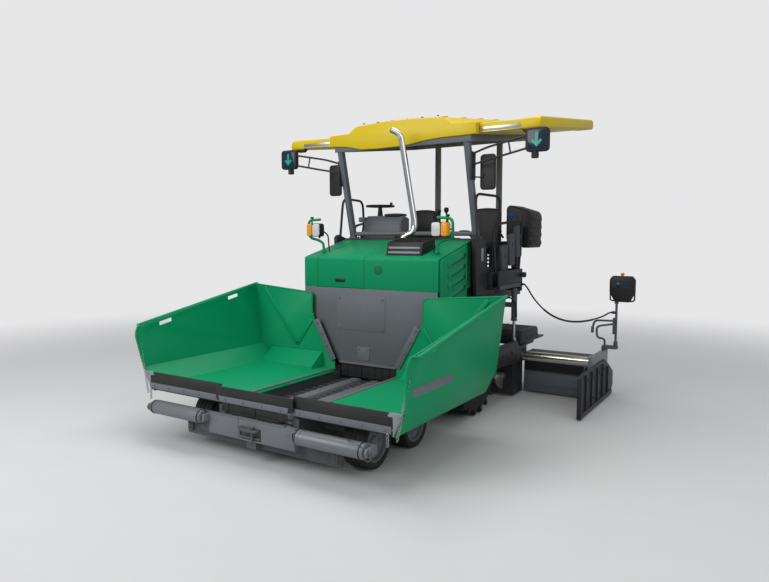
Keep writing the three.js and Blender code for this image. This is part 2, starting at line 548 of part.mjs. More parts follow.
const LAMP_Y = 150;
const lamp = join(
  bar('y', 52, LAMP_Y - 60, LAMP_Y + 30, 848, 2245, 12),
  bar('z', 44, 2190, 2300, 940, LAMP_Y, 12),
  box(850, 940, LAMP_Y - 20, LAMP_Y + 20, 2225, 2265),
  tube([
    [830, LAMP_Y + 60, 1990], [830, LAMP_Y + 60, 2130], [1010, LAMP_Y + 40, 2150], [1010, LAMP_Y + 20, 2372],
    [840, LAMP_Y + 20, 2372],
  ], 12, { bend: 50, steps: 16 }),
  bar('z', 9, 2360, 2400, 940, LAMP_Y + 20, 8),
  bar('y', 9, LAMP_Y, LAMP_Y + 30, 1010, 2245, 8),
  bar('x', 9, 930, 1010, LAMP_Y + 20, 2245, 8),
  box(806, 854, LAMP_Y + 36, LAMP_Y + 84, hoodTopZ(LAMP_Y + 84) + SEAT_GAP, 2010),
);
pair('headlight', lamp, GREEN);

// ---------- operator's stand ----------

const POST_FOOT = [985, 1050];
piece('platform_deck', join(
  box(-DECK_HALF, DECK_HALF, DECK_FRONT_Y, DECK_REAR_Y, DECK_TOP - DECK_DEPTH, DECK_TOP),
  box(-HOOD_HALF, HOOD_HALF, HOOD_REAR_Y + SEAT_GAP, HOOD_REAR_Y + DASH_DEPTH, DECK_TOP - 10, DASH_TOP),
), DARK);

const sidePanel = join(
  slabX([[745, 2160], [800, 2200], [1080, 2120], [1090, 1800], [1350, 1760], [1350, DECK_TOP + SEAT_GAP], [800, DECK_TOP + SEAT_GAP]], 1010, 1070),
  box(1060, 1230, 1120, 1940, 1500, 1530), box(1200, 1230, 1120, 1940, 1500, 1740), box(1010, 1230, 1900, 1940, DECK_TOP + SEAT_GAP, 1740),
  slabX([[1400, 1640], [1440, 2080], [1500, 2150], [1690, 2120], [1650, 1640]], 1150, 1210),
  slabX([[1710, 1700], [1740, 2180], [1800, 2240], [1930, 2220], [1920, 1700]], 1180, 1230),
  tube([[1040, 900, 2150], [1040, 900, 2640], [1040, 1330, 2600], [1040, 1330, 1730]], 15, { bend: 110, steps: 16 }),
  tube([[1130, 1260, 1510], [1130, 1260, 2210], [1130, 1900, 2300], [1130, 1900, 1510]], 15, { bend: 110, steps: 18 }),
  bar('x', 18, 1220, 1250, CABLE_FROM[1], CABLE_FROM[2], 8),
  box(1130, 1190, 1480, 1640, 1700, 1716), box(1130, 1200, 1780, 1920, 1760, 1776),
  box(1160, 1216, 1640, 1730, 1690, 1716),
);
pair('side_panel', sidePanel, DARK);

piece('operator_console', join(
  slabX([[1240, DECK_TOP + SEAT_GAP], [1240, 2380], [1330, 2470], [1480, 2430], [1480, 2300], [1420, DECK_TOP + SEAT_GAP]], -900, -280),
  box(-1000, -890, 1250, 1400, 2380, 2450),
  bar('z', 30, 2400, 2590, -735, 1420, 12),
), GREY);
const WHEEL_RIM = 195;
const steering = join(
  new THREE.TorusGeometry(WHEEL_RIM, 15, 6, 18),
  bar('z', 44, -18, 18, 0, 0, 12),
  ...[0.3, 2.4, 4.5].map((angle) => box(0, WHEEL_RIM, -12, 12, -8, 8).rotateZ(angle)),
  bar('z', 20, 0, 56, 150, 60, 10),
).translate(-735, 1420, 2590 + 18 + SEAT_GAP);
piece('steering_wheel', steering, BLACK);

const seat = (x, y) => join(
  box(x - 90, x + 90, y - 100, y + 100, DECK_TOP + SEAT_GAP, 1960),
  box(x - 230, x + 230, y - 240, y + 200, 1950, 2070),
  slabX([[y + 150, 1990], [y + 200, 2560], [y + 280, 2560], [y + 250, 1990]], x - 215, x + 215),
);
piece('seat_right', seat(-360, 1850), BLACK);
piece('seat_left', seat(690, 1750), BLACK);
piece('side_locker', join(
  slabX([[1990, 2130], [1990, 2520], [2080, 2600], [2400, 2560], [2470, 2400], [2470, 2130]], 960, 1400),
  box(980, 1060, 2150, 2250, DECK_TOP + SEAT_GAP, 2150),
), BLACK);

// ---------- roof ----------

const roofBottomZ = (y) => ROOF_FRONT_BOTTOM + ROOF_SLOPE * (y - ROOF_FRONT_Y);
const frameTopZ = (y) => roofBottomZ(y) - SEAT_GAP;
const sloped = (y0, y1, drop) => [
  [y0, frameTopZ(y0) - drop], [y1, frameTopZ(y1) - drop], [y1, frameTopZ(y1)], [y0, frameTopZ(y0)],
];
const REAR_POST = [520, 2800];
const postHalf = join(
  slabX([[POST_FOOT[1] - 35, DASH_TOP + SEAT_GAP], [POST_FOOT[1] + 35, DASH_TOP + SEAT_GAP], [790, 3340], [715, 3340]], 905, 975),
  box(905, 990, POST_FOOT[1] - 40, POST_FOOT[1] + 60, DASH_TOP + SEAT_GAP, DASH_TOP + 12),
  slabX(sloped(ROOF_FRONT_Y + 10, 2900, 80), 930, 1010),
  slabX(sloped(ROOF_FRONT_Y + 10, ROOF_FRONT_Y + 90, 80), -10, 1010),
  slabX(sloped(2780, 2860, 80), -10, 1010),
  slabX([[REAR_POST[1] - 35, DECK_TOP + SEAT_GAP], [REAR_POST[1] + 35, DECK_TOP + SEAT_GAP], [2835, 3620], [2765, 3620]], 485, 555),
  bar('x', 28, -5, 940, POST_FOOT[1], DASH_TOP + 60, 10),
);
piece('roof_frame', join(postHalf, mirrored(postHalf)), GREY);

const roofCrown = [
  [-ROOF_HALF, 0], [-ROOF_HALF, 130], [-1060, 145], [-760, 150], [-650, 235], [-200, 262], [200, 262], [650, 235], [760, 150],
  [1060, 145], [ROOF_HALF, 130], [ROOF_HALF, 0],
];
const roofRaw = slabY(roofCrown, ROOF_FRONT_Y, ROOF_REAR_Y);
const shear = new THREE.Matrix4().set(
  1, 0, 0, 0,
  0, 1, 0, 0,
  0, ROOF_SLOPE, 1, ROOF_FRONT_BOTTOM - ROOF_SLOPE * ROOF_FRONT_Y,
  0, 0, 0, 1,
);
const EXTENSION_ROOT = 950;
const roofSlot = box(
  EXTENSION_ROOT - ROOF_TRAVEL - RUN_GAP * 2, ROOF_HALF + 10, ROOF_FRONT_Y + 70, ROOF_REAR_Y - 30, ...ROOF_SLOT,
);
piece('roof_shell', cut(roofRaw, roofSlot, mirrored(roofSlot)).applyMatrix4(shear), YELLOW);
const roofExtension = slabY([
  [EXTENSION_ROOT, ROOF_SLOT[0] + SEAT_GAP], [EXTENSION_ROOT, ROOF_SLOT[1] - RUN_GAP], [ROOF_EXTENSION_END - 40, ROOF_SLOT[1] - RUN_GAP],
  [ROOF_EXTENSION_END, ROOF_SLOT[1] - 40], [ROOF_EXTENSION_END, ROOF_SLOT[0] + 20], [ROOF_EXTENSION_END - 14, ROOF_SLOT[0] + SEAT_GAP],
], ROOF_FRONT_Y + 70 + RUN_GAP, ROOF_REAR_Y - 30 - RUN_GAP).applyMatrix4(shear);
pair('roof_extension', roofExtension, YELLOW);

const ARM_POST_X = 975;
const lightArm = join(
  tube([[ARM_POST_X + 8, 790, 3165], [1200, 760, 3230], [1760, 720, 3330]], 13, { bend: 80, steps: 8 }),
  tube([[ARM_POST_X + 8, 820, 3043], [1300, 760, 3100], [1760, 720, 3190]], 13, { bend: 80, steps: 8 }),
  tube([[1470, 742, 3280], [1500, 738, 3135]], 10, { steps: 2 }),
  box(ARM_POST_X + SEAT_GAP, ARM_POST_X + 26, 760, 880, 2860, 3200),
  box(1690, 1960, 690, 760, 3130, 3400),
  tube([[ARM_POST_X + 10, 860, 2900], [1090, 880, 2890], [1110, 900, 2960]], 9, { bend: 30, steps: 6 }),
  box(1050, 1250, 890, 930, 2740, 3170),
  bar('z', 42, 3060, 3136, 1800, 720, 10),
);
pair('mirror_arm', lightArm, DARK);

// ---------- augers ----------

/** A screw flight along X. */
function flight(x0, x1, inner, outer, pitch, thickness) {
  const turns = (x1 - x0 - thickness) / pitch;
  const strip = new THREE.BoxGeometry(1, 1, 1, Math.round(turns * 11), 1, 1).translate(0.5, 0.5, 0);
  const position = strip.attributes.position;
  for (let i = 0; i < position.count; i += 1) {
    const along = position.getX(i);
    const radius = inner + position.getY(i) * (outer - inner);
    const angle = along * turns * Math.PI * 2;
    const x = x0 + thickness / 2 + along * turns * pitch - position.getZ(i) * thickness;
    position.setXYZ(i, x, radius * Math.cos(angle), radius * Math.sin(angle));
  }
  return strip;
}

const auger = join(
  bar('x', AUGER_SHAFT, AUGER_X[0], AUGER_X[1], 0, 0, 10),
  flight(AUGER_X[0] + 20, AUGER_X[1] - 10, AUGER_SHAFT - 6, AUGER_RADIUS, AUGER_PITCH, 12),
).translate(0, AUGER_Y, AUGER_Z);
pair('auger', auger, STEEL);

// ---------- screed ----------

const towArm = cut(
  slabX([
    [TOW_PIVOT_Y - 60, 560], [TOW_PIVOT_Y - 60, 650], [TOW_PIVOT_Y - 20, 672], [1100, 780], [CYLINDER_Y + 60, 780], [1810, 692],
    [2080, 692], [2080, 470], [1700, 490], [1100, 520], [TOW_PIVOT_Y - 20, 535],
  ], TOW_ARM_X, TOW_ARM_X + TOW_ARM_THICKNESS),
  bar('x', PIN_RADIUS + SEAT_GAP, TOW_ARM_X - 5, TOW_ARM_X + TOW_ARM_THICKNESS + 5, TOW_PIVOT_Y, TOW_PIVOT_Z, PIN_SIDES),
  bar('x', GUIDE_TUBE_RADIUS + 6, TOW_ARM_X - 5, TOW_ARM_X + TOW_ARM_THICKNESS + 5, GUIDE_TUBE_Y, GUIDE_TUBE_Z, 16),
);
pair('tow_arm', towArm, DARK);

const rodFoot = 780 + SEAT_GAP;
pair('lift_rod', join(
  bar('z', ROD_RADIUS, rodFoot + 20, barrelZ[0] + 85, CYLINDER_X, CYLINDER_Y, 12),
  box(CYLINDER_X - 26, CYLINDER_X + 26, CYLINDER_Y - 30, CYLINDER_Y + 30, rodFoot, rodFoot + 46),
), STEEL);

const screedRearY = SCREED_FRONT_Y + SCREED_BASE_DEPTH;
const sideInner = SCREED_HALF - 30;
const screedHalf = join(
  box(-10, SCREED_HALF, SCREED_FRONT_Y, SCREED_FRONT_Y + 30, SCREED_PLATE_Z, 500),
  box(-10, SCREED_HALF, SCREED_FRONT_Y, screedRearY, SCREED_PLATE_Z, SCREED_PLATE_Z + 40),
  box(-10, SCREED_HALF, screedRearY - 30, screedRearY, SCREED_PLATE_Z, 420),
  box(sideInner, SCREED_HALF, SCREED_FRONT_Y, screedRearY, SCREED_PLATE_Z, 720),
  box(SCREED_HALF - 10, TOW_ARM_X - SEAT_GAP, 1820, 2060, 520, 660),
  box(960, SCREED_HALF, GUIDE_TUBE_Y - 100, GUIDE_TUBE_Y + 100, GUIDE_TUBE_Z - 100, GUIDE_TUBE_Z + 100),
  box(sideInner, SCREED_HALF, screedRearY - 60, 2560, 640, 720),
  slabX([[1860, 700], [1860, 840], [1920, 890], [2500, 890], [2560, 840], [2560, 700]], -10, SCREED_HALF + 60),
  box(-10, SCREED_HALF + 60, 2555, 2820, 700, 724),
);
const guideBore = bar('x', GUIDE_TUBE_RADIUS + SEAT_GAP, 950, SCREED_HALF + 10, GUIDE_TUBE_Y, GUIDE_TUBE_Z, 16);
const tubeInner = EXTENSION_TRAVEL[0] + 20;
const screedLeft = cut(screedHalf, guideBore);
piece('screed_body', join(screedLeft, mirrored(screedLeft)), DARK);

const endPlateX = [EXTENSION_X[1], EXTENSION_X[1] + END_PLATE_THICKNESS];
const extension = join(
  box(EXTENSION_X[0], EXTENSION_X[1] + 10, EXTENSION_Y[0], EXTENSION_Y[0] + 30, SCREED_PLATE_Z, EXTENSION_HEIGHT),
  box(EXTENSION_X[0], EXTENSION_X[1] + 10, ...EXTENSION_Y, SCREED_PLATE_Z, SCREED_PLATE_Z + 40),
  box(EXTENSION_X[0], EXTENSION_X[1] + 10, EXTENSION_Y[1] - 30, EXTENSION_Y[1], SCREED_PLATE_Z, EXTENSION_HEIGHT - 60),
  slabX([[GUIDE_TUBE_Y - 90, 420], [GUIDE_TUBE_Y - 90, 640], [EXTENSION_Y[1] + 40, 640], [EXTENSION_Y[1] + 40, SCREED_PLATE_Z], [EXTENSION_Y[0], SCREED_PLATE_Z]],
    ...endPlateX),
  bar('x', GUIDE_TUBE_RADIUS, tubeInner, endPlateX[0] + 10, GUIDE_TUBE_Y, GUIDE_TUBE_Z, 16),
);
pair('screed_extension', extension, GREY);

const gateX = endPlateX[1] + SEAT_GAP;
const gate = join(
  slabX([[1100, 15], [2650, 15], [2780, 140], [2780, 300], [2520, 440], [2300, 540], [1250, 540], [1100, 500]], gateX, gateX + GATE_THICKNESS),
  box(gateX, gateX + GATE_THICKNESS + 30, 1085, 1115, 20, 505),
  box(gateX + 10, gateX + GATE_THICKNESS + 24, 1110, 2640, 20, 70),
);
pair('end_gate', gate, GREY);

const standTop = 640 + SEAT_GAP;
const controlStand = join(
  box(endPlateX[0], STAND_X + 30, STAND_Y - 60, STAND_Y + 40, standTop + 20, standTop + 60),
  box(endPlateX[0], endPlateX[1], STAND_Y - 60, STAND_Y + 40, standTop, standTop + 30),
  bar('z', 16, standTop + 40, 1310, STAND_X, STAND_Y, 12),
  slabY([[2270, 1300], [2255, 1600], [2290, 1650], [2540, 1650], [2580, 1600], [2560, 1300]], STAND_Y - 40, STAND_Y + 50),
  bar('z', 24, 1640, 1690, 2380, STAND_Y, 10),
  tube([[2210, 2490, standTop + 50], [2210, 2490, 790], [2120, 2440, 800], [2110, 2430, 960], [2340, 2498, 1000]], 14, { bend: 50, steps: 16 }),
  bar('x', 18, CABLE_TO[0] + 0.3, STAND_X, CABLE_TO[1], CABLE_TO[2], 8),
  tube([[2345, 2498, 1040], [2080, 2420, 1040], [2060, 2410, 880]], 14, { bend: 50, steps: 8 }),
  box(STAND_X - 40, STAND_X - 10, STAND_Y - 30, STAND_Y + 30, 860, 1080),
);
pair('control_stand', controlStand, DARK);

// ---------- control cable from the operator's stand to the left control stand ----------

const CABLE_RADIUS = 13;
const cableRoute = [
  [1275, 1900, 1528], [1312, 1915, 1480], [1372, 1950, 1368], [1445, 1992, 1262], [1530, 2040, 1168], [1625, 2094, 1096],
  [1725, 2151, 1050], [1830, 2210, 1028], [1935, 2270, 1028], [2035, 2328, 1044], [2125, 2385, 1072],
  [2200, 2440, 1106], [2250, 2484, 1140], [2284, CABLE_TO[1], CABLE_TO[2]],
].map((p) => new THREE.Vector3(...p));
const cablePath = new THREE.CurvePath();
cablePath.add(new THREE.LineCurve3(new THREE.Vector3(...CABLE_FROM), new THREE.Vector3(CABLE_FROM[0] + 12, CABLE_FROM[1], CABLE_FROM[2])));
cablePath.add(new THREE.CatmullRomCurve3(
  [new THREE.Vector3(CABLE_FROM[0] + 12, CABLE_FROM[1], CABLE_FROM[2]), ...cableRoute], false, 'centripetal',
));
cablePath.add(new THREE.LineCurve3(cableRoute.at(-1), new THREE.Vector3(...CABLE_TO)));
piece('control_cable', sweep(cablePath, CABLE_RADIUS, 44, 8), RUBBER);

// ---------- origin at the bottom centre of the machine's box ----------

const extent = new THREE.Box3().setFromObject(paver);
const middle = extent.getCenter(new THREE.Vector3());
paver.position.set(-middle.x, -middle.y, -extent.min.z);

export default paver;
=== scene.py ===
"""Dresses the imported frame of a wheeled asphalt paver: detailed pieces, finishes, studio and camera.

Lengths are in metres. Pieces are modelled from the foot of the hopper's rear wall, with +X to the
machine's left, +Y to its rear and +Z up, and are moved into the frame when they are finished.
"""

import json
import logging
import math
from dataclasses import dataclass, field
from enum import Enum
from typing import Iterable, Sequence

import bmesh
import bpy
from mathutils import Matrix, Vector
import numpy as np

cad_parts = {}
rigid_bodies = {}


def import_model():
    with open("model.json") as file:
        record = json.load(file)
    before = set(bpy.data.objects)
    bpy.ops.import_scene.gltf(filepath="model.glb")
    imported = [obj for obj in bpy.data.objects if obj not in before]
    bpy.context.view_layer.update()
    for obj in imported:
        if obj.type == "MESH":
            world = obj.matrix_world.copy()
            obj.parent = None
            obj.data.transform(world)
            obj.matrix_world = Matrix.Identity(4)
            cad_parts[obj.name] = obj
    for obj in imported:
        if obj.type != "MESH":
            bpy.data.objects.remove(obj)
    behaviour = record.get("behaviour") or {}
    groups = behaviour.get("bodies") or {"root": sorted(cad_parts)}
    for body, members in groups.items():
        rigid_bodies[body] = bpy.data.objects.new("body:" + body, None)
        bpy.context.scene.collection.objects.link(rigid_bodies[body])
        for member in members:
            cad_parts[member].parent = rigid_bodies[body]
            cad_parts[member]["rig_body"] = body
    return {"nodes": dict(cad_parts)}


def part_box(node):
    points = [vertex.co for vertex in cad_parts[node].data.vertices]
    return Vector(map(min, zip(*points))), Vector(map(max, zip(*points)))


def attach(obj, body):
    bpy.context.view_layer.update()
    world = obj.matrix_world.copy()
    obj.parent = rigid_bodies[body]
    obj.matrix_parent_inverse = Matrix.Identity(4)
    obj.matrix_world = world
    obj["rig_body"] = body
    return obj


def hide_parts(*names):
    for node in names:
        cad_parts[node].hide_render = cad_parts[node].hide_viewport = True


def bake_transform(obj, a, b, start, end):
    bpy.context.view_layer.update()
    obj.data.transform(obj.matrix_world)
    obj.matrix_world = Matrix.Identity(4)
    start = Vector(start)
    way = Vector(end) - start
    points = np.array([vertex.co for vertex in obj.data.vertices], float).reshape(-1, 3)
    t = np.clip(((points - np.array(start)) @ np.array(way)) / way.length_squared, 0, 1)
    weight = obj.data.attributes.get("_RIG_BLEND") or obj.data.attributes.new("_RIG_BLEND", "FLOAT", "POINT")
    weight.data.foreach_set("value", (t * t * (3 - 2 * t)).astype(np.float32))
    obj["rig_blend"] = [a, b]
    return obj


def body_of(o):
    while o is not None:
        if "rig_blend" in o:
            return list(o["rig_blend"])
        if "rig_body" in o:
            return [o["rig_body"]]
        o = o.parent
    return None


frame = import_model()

LOG = logging.getLogger("paver")
Point = tuple[float, float, float]
Outline = Sequence[tuple[float, float]]
Colour = tuple[float, float, float]

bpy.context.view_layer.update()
REAR_AXLE_Y = 0.69
_axle_low, _axle_high = (Vector(corner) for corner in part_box("rear_axle"))
SHIFT = Vector((0.0, (_axle_low.y + _axle_high.y) / 2 - REAR_AXLE_Y, 0.0))


class Axis(Enum):
    """A direction of the frame."""

    X = 0
    Y = 1
    Z = 2

    def vector(self) -> Vector:
        """The unit vector along the axis."""
        unit = Vector((0.0, 0.0, 0.0))
        unit[self.value] = 1.0
        return unit

    def point(self, along: float, first: float, second: float) -> Vector:
        """A point from its place along the axis and its other two coordinates in X, Y, Z order."""
        rest = [first, second]
        return Vector([along if i == self.value else rest.pop(0) for i in range(3)])


class Side(Enum):
    """A side of the machine, with the sign of its X."""

    LEFT = 1
    RIGHT = -1

    @property
    def word(self) -> str:
        """The side's name as it ends a piece's name."""
        return self.name.lower()


# ---------------------------------------------------------------- finishes


class NodeTree:
    """A short way to make and join shader nodes."""

    def __init__(self, tree: bpy.types.NodeTree) -> None:
        """Starts from an emptied tree.

        Args:
            tree: the material's or the group's tree.
        """
        self.tree = tree
        tree.nodes.clear()

    def node(self, kind: str, **settings: object) -> bpy.types.Node:
        """Adds a node.

        Args:
            kind: the node's type name.
            settings: attributes of the node, or its inputs by name with spaces as underscores.

        Returns:
            The new node.
        """
        made = self.tree.nodes.new(kind)
        for name, value in settings.items():
            socket = made.inputs.get(name.replace("_", " "))
            if socket is not None and not hasattr(type(made), name):
                socket.default_value = value
            else:
                setattr(made, name, value)
        return made

    def link(self, start: bpy.types.NodeSocket, end: bpy.types.NodeSocket) -> None:
        """Joins an output to an input."""
        self.tree.links.new(start, end)

    def math(self, operation: str, *values: object) -> bpy.types.NodeSocket:
        """A Math node.

        Args:
            operation: the node's operation.
            values: a number or an output for each input.

        Returns:
            The node's output.
        """
        made = self.node("ShaderNodeMath", operation=operation)
        for socket, value in zip(made.inputs, values):
            if isinstance(value, bpy.types.NodeSocket):
                self.link(value, socket)
            else:
                socket.default_value = value
        return made.outputs[0]

    def mix(self, amount: object, first: object, second: object) -> bpy.types.NodeSocket:
        """Mixes two colours.

        Args:
            amount: a number or an output, 0 for the first colour and 1 for the second.
            first: a colour or an output.
            second: a colour or an output.

        Returns:
            The mixed colour's output.
        """
        made = self.node("ShaderNodeMix", data_type="RGBA")
        for index, value in ((0, amount), (6, first), (7, second)):
            if isinstance(value, bpy.types.NodeSocket):
                self.link(value, made.inputs[index])
            elif isinstance(value, (int, float)):
                made.inputs[index].default_value = value
            else:
                made.inputs[index].default_value = (*value, 1.0)
        return made.outputs[2]


def group(
    name: str, inputs: dict[str, float | None], outputs: Sequence[str]
) -> tuple[NodeTree, object, object]:
    """Starts a shader node group.

    Args:
        name: the group's name.
        inputs: each input's name with its first value, or None for a vector.
        outputs: the names of the value outputs.

    Returns:
        The group's tree, its input node and its output node.
    """
    tree = bpy.data.node_groups.new(name, "ShaderNodeTree")
    for label, value in inputs.items():
        kind = "NodeSocketVector" if value is None else "NodeSocketFloat"
        socket = tree.interface.new_socket(label, in_out="INPUT", socket_type=kind)
        if value is not None:
            socket.default_value = value
    for label in outputs:
        tree.interface.new_socket(label, in_out="OUTPUT", socket_type="NodeSocketFloat")
    made = NodeTree(tree)
    return made, made.node("NodeGroupInput"), made.node("NodeGroupOutput")


def make_grain_group() -> bpy.types.NodeTree:
    """A fine grain with broad clouds, for height, colour and roughness."""
    made, start, end = group("grain", {"Vector": None, "Fine": 200.0, "Broad": 2.0}, ("Grain", "Cloud"))
    for label, detail, output in (("Fine", 2.0, "Grain"), ("Broad", 4.0, "Cloud")):
        noise = made.node("ShaderNodeTexNoise", Detail=detail, Roughness=0.55)
        made.link(start.outputs["Vector"], noise.inputs["Vector"])
        made.link(start.outputs[label], noise.inputs["Scale"])
        made.link(noise.outputs["Fac"], end.inputs[output])
    return made.tree


def make_wear_group() -> bpy.types.NodeTree:
    """A mask that is 1 where a convex edge is rubbed bare."""
    made, start, end = group("edge wear", {"Vector": None, "Amount": 0.5}, ("Mask",))
    point = made.node("ShaderNodeNewGeometry").outputs["Pointiness"]
    noise = made.node("ShaderNodeTexNoise", Scale=24.0, Detail=5.0, Roughness=0.7)
    made.link(start.outputs["Vector"], noise.inputs["Vector"])
    edge = made.math("MULTIPLY", made.math("SUBTRACT", point, 0.52), 9.0)
    patch = made.math("SUBTRACT", noise.outputs["Fac"], 0.5)
    rubbed = made.math("ADD", edge, made.math("MULTIPLY", patch, 1.6))
    clipped = made.node("ShaderNodeClamp")
    made.link(made.math("MULTIPLY", rubbed, start.outputs["Amount"]), clipped.inputs["Value"])
    made.link(clipped.outputs[0], end.inputs["Mask"])
    return made.tree


def make_dust_group() -> bpy.types.NodeTree:
    """A mask that is 1 where dust lies: on faces that look up, in clouds, and more near the ground."""
    made, start, end = group("dust", {"Vector": None, "Amount": 0.3}, ("Mask",))
    geometry = made.node("ShaderNodeNewGeometry")
    normal = made.node("ShaderNodeSeparateXYZ")
    made.link(geometry.outputs["Normal"], normal.inputs[0])
    height = made.node("ShaderNodeSeparateXYZ")
    made.link(start.outputs["Vector"], height.inputs[0])
    noise = made.node("ShaderNodeTexNoise", Scale=5.0, Detail=8.0, Roughness=0.65)
    made.link(start.outputs["Vector"], noise.inputs["Vector"])
    low = made.node("ShaderNodeMapRange", From_Min=0.0, From_Max=1.0, To_Min=1.0, To_Max=0.15)
    made.link(height.outputs["Z"], low.inputs["Value"])
    up = made.math("MAXIMUM", normal.outputs["Z"], 0.0)
    lying = made.math("ADD", made.math("MULTIPLY", up, 0.45), made.math("MULTIPLY", low.outputs[0], 0.55))
    clouds = made.math("MULTIPLY", made.math("SUBTRACT", noise.outputs["Fac"], 0.3), 2.2)
    clipped = made.node("ShaderNodeClamp")
    made.link(
        made.math("MULTIPLY", made.math("MULTIPLY", lying, clouds), start.outputs["Amount"]), clipped.inputs[0])
    made.link(clipped.outputs[0], end.inputs["Mask"])
    return made.tree


GROUPS: dict[str, bpy.types.NodeTree] = {
    "grain": make_grain_group(),
    "wear": make_wear_group(),
    "dust": make_dust_group(),
}


@dataclass(frozen=True)
class Finish:
    """A surface finish, made into one material.

    Attributes:
        name: the material's name.
        slot: the record's material slot that the finish belongs to; not used.
        colour: linear base colour.
        roughness: mean roughness.
        metallic: 1 for bare metal.
        coat: clear coat weight.
        fine: grain per metre.
        stretch: how the grain is stretched along X, Y and Z.
        bump: grain height in metres.
        cloud: how far the colour drifts, from 0 to 1.
        wear: how much the edges are rubbed.
        bare: colour under the paint.
        dust: how much dust lies on it.
        glow: emission strength.
        clear: transmission weight.
        specular: how strongly it reflects at a steep angle.
    """

    name: str
    slot: str
    colour: Colour
    roughness: float
    metallic: float = 0.0
    coat: float = 0.0
    fine: float = 260.0
    stretch: Point = (1.0, 1.0, 1.0)
    bump: float = 0.00012
    cloud: float = 0.1
    wear: float = 0.0
    bare: Colour = (0.32, 0.32, 0.31)
    dust: float = 0.0
    glow: float = 0.0
    clear: float = 0.0
    specular: float = 0.35

    def material(self) -> bpy.types.Material:
        """The finish's material, made on first use.

        Returns:
            The material.
        """
        known = bpy.data.materials.get(self.name)
        return known or self._make()

    def _make(self) -> bpy.types.Material:
        """Builds the node tree: drifting colour, worn edges, dust, grain in roughness and height."""
        made = bpy.data.materials.new(self.name)
        made.use_nodes = True
        made.diffuse_color = (*self.colour, 1.0)
        nodes = NodeTree(made.node_tree)
        place = nodes.node("ShaderNodeTexCoord").outputs["Object"]
        stretched = nodes.node("ShaderNodeMapping", Scale=self.stretch)
        nodes.link(place, stretched.inputs["Vector"])
        grain = self._group(nodes, "grain", stretched.outputs[0], Fine=self.fine, Broad=1.7)
        shader = nodes.node("ShaderNodeBsdfPrincipled", Metallic=self.metallic, Coat_Weight=self.coat)
        shader.inputs["Coat Roughness"].default_value = 0.08
        shader.inputs["Specular IOR Level"].default_value = self.specular
        darker = tuple(c * (1.0 - self.cloud) for c in self.colour)
        lighter = tuple(min(1.0, c * (1.0 + self.cloud) + 0.01 * self.cloud) for c in self.colour)
        colour = nodes.mix(grain.outputs["Cloud"], darker, lighter)
        rough = nodes.math("MULTIPLY_ADD", grain.outputs["Grain"], 0.16, self.roughness - 0.08)
        if self.wear > 0.0:
            mask = self._group(nodes, "wear", place, Amount=self.wear).outputs["Mask"]
            colour = nodes.mix(mask, colour, self.bare)
        if self.dust > 0.0:
            mask = self._group(nodes, "dust", place, Amount=self.dust).outputs["Mask"]
            colour = nodes.mix(mask, colour, (0.33, 0.31, 0.28))
            rough = nodes.math("MULTIPLY_ADD", mask, 0.45, rough)
        nodes.link(colour, shader.inputs["Base Color"])
        nodes.link(nodes.math("MINIMUM", rough, 0.97), shader.inputs["Roughness"])
        if self.glow > 0.0:
            nodes.link(colour, shader.inputs["Emission Color"])
            shader.inputs["Emission Strength"].default_value = self.glow
        shader.inputs["Transmission Weight"].default_value = self.clear
        bump = nodes.node("ShaderNodeBump", Strength=0.6, Distance=self.bump)
        nodes.link(grain.outputs["Grain"], bump.inputs["Height"])
        nodes.link(bump.outputs["Normal"], shader.inputs["Normal"])
        output = nodes.node("ShaderNodeOutputMaterial")
        nodes.link(shader.outputs[0], output.inputs["Surface"])
        return made

    @staticmethod
    def _group(nodes: NodeTree, name: str, vector: bpy.types.NodeSocket, **values: float) -> bpy.types.Node:
        """Places a shared group in the material.

        Args:
            nodes: the material's tree.
            name: which group.
            vector: where its patterns are read.
            values: its other inputs.

        Returns:
            The group node.
        """
        made = nodes.node("ShaderNodeGroup", node_tree=GROUPS[name])
        nodes.link(vector, made.inputs["Vector"])
        for label, value in values.items():
            made.inputs[label].default_value = value
        return made


GREEN = Finish(
    "green paint", "green", (0.0, 0.275, 0.11), 0.42, coat=0.03, bump=0.00005, cloud=0.05, wear=0.03, dust=0.02,
    specular=0.12)
GREY = Finish(
    "grey paint", "grey", (0.14, 0.148, 0.166), 0.46, bump=0.00008, cloud=0.07, wear=0.08, dust=0.08,
    specular=0.22)
DARK = Finish(
    "anthracite paint", "dark", (0.026, 0.027, 0.03), 0.46, bump=0.0001, cloud=0.12, wear=0.06, dust=0.06,
    specular=0.18)
UNDER = Finish(
    "underbody paint", "grey", (0.075, 0.079, 0.088), 0.58, bump=0.0002, cloud=0.15, wear=0.1, dust=0.2,
    specular=0.2)
YELLOW = Finish(
    "yellow moulding", "yellow", (0.66, 0.48, 0.004), 0.34, coat=0.05, bump=0.00006, cloud=0.05, dust=0.03,
    specular=0.2)
RUBBER = Finish(
    "rubber sheet", "rubber", (0.013, 0.013, 0.014), 0.62, fine=420.0, bump=0.0002, cloud=0.25, dust=0.1)
TYRE = Finish(
    "tyre rubber", "tyre", (0.014, 0.014, 0.015), 0.72, fine=320.0, bump=0.0003, cloud=0.3, dust=0.16,
    specular=0.25)
STEEL = Finish(
    "worn steel", "steel", (0.42, 0.42, 0.41), 0.34, metallic=1.0, fine=60.0, stretch=(1.0, 14.0, 14.0),
    bump=0.00012, cloud=0.2, dust=0.15)
ROD_STEEL = Finish(
    "rolled steel", "steel", (0.5, 0.51, 0.52), 0.3, metallic=1.0, fine=40.0, stretch=(1.0, 10.0, 10.0),
    bump=0.00008, cloud=0.15, dust=0.08)
ROLLER_PAINT = Finish(
    "worn roller paint", "steel", (0.155, 0.17, 0.185), 0.4, metallic=0.25, fine=40.0,
    stretch=(1.0, 10.0, 10.0), bump=0.00008, cloud=0.15, dust=0.08)
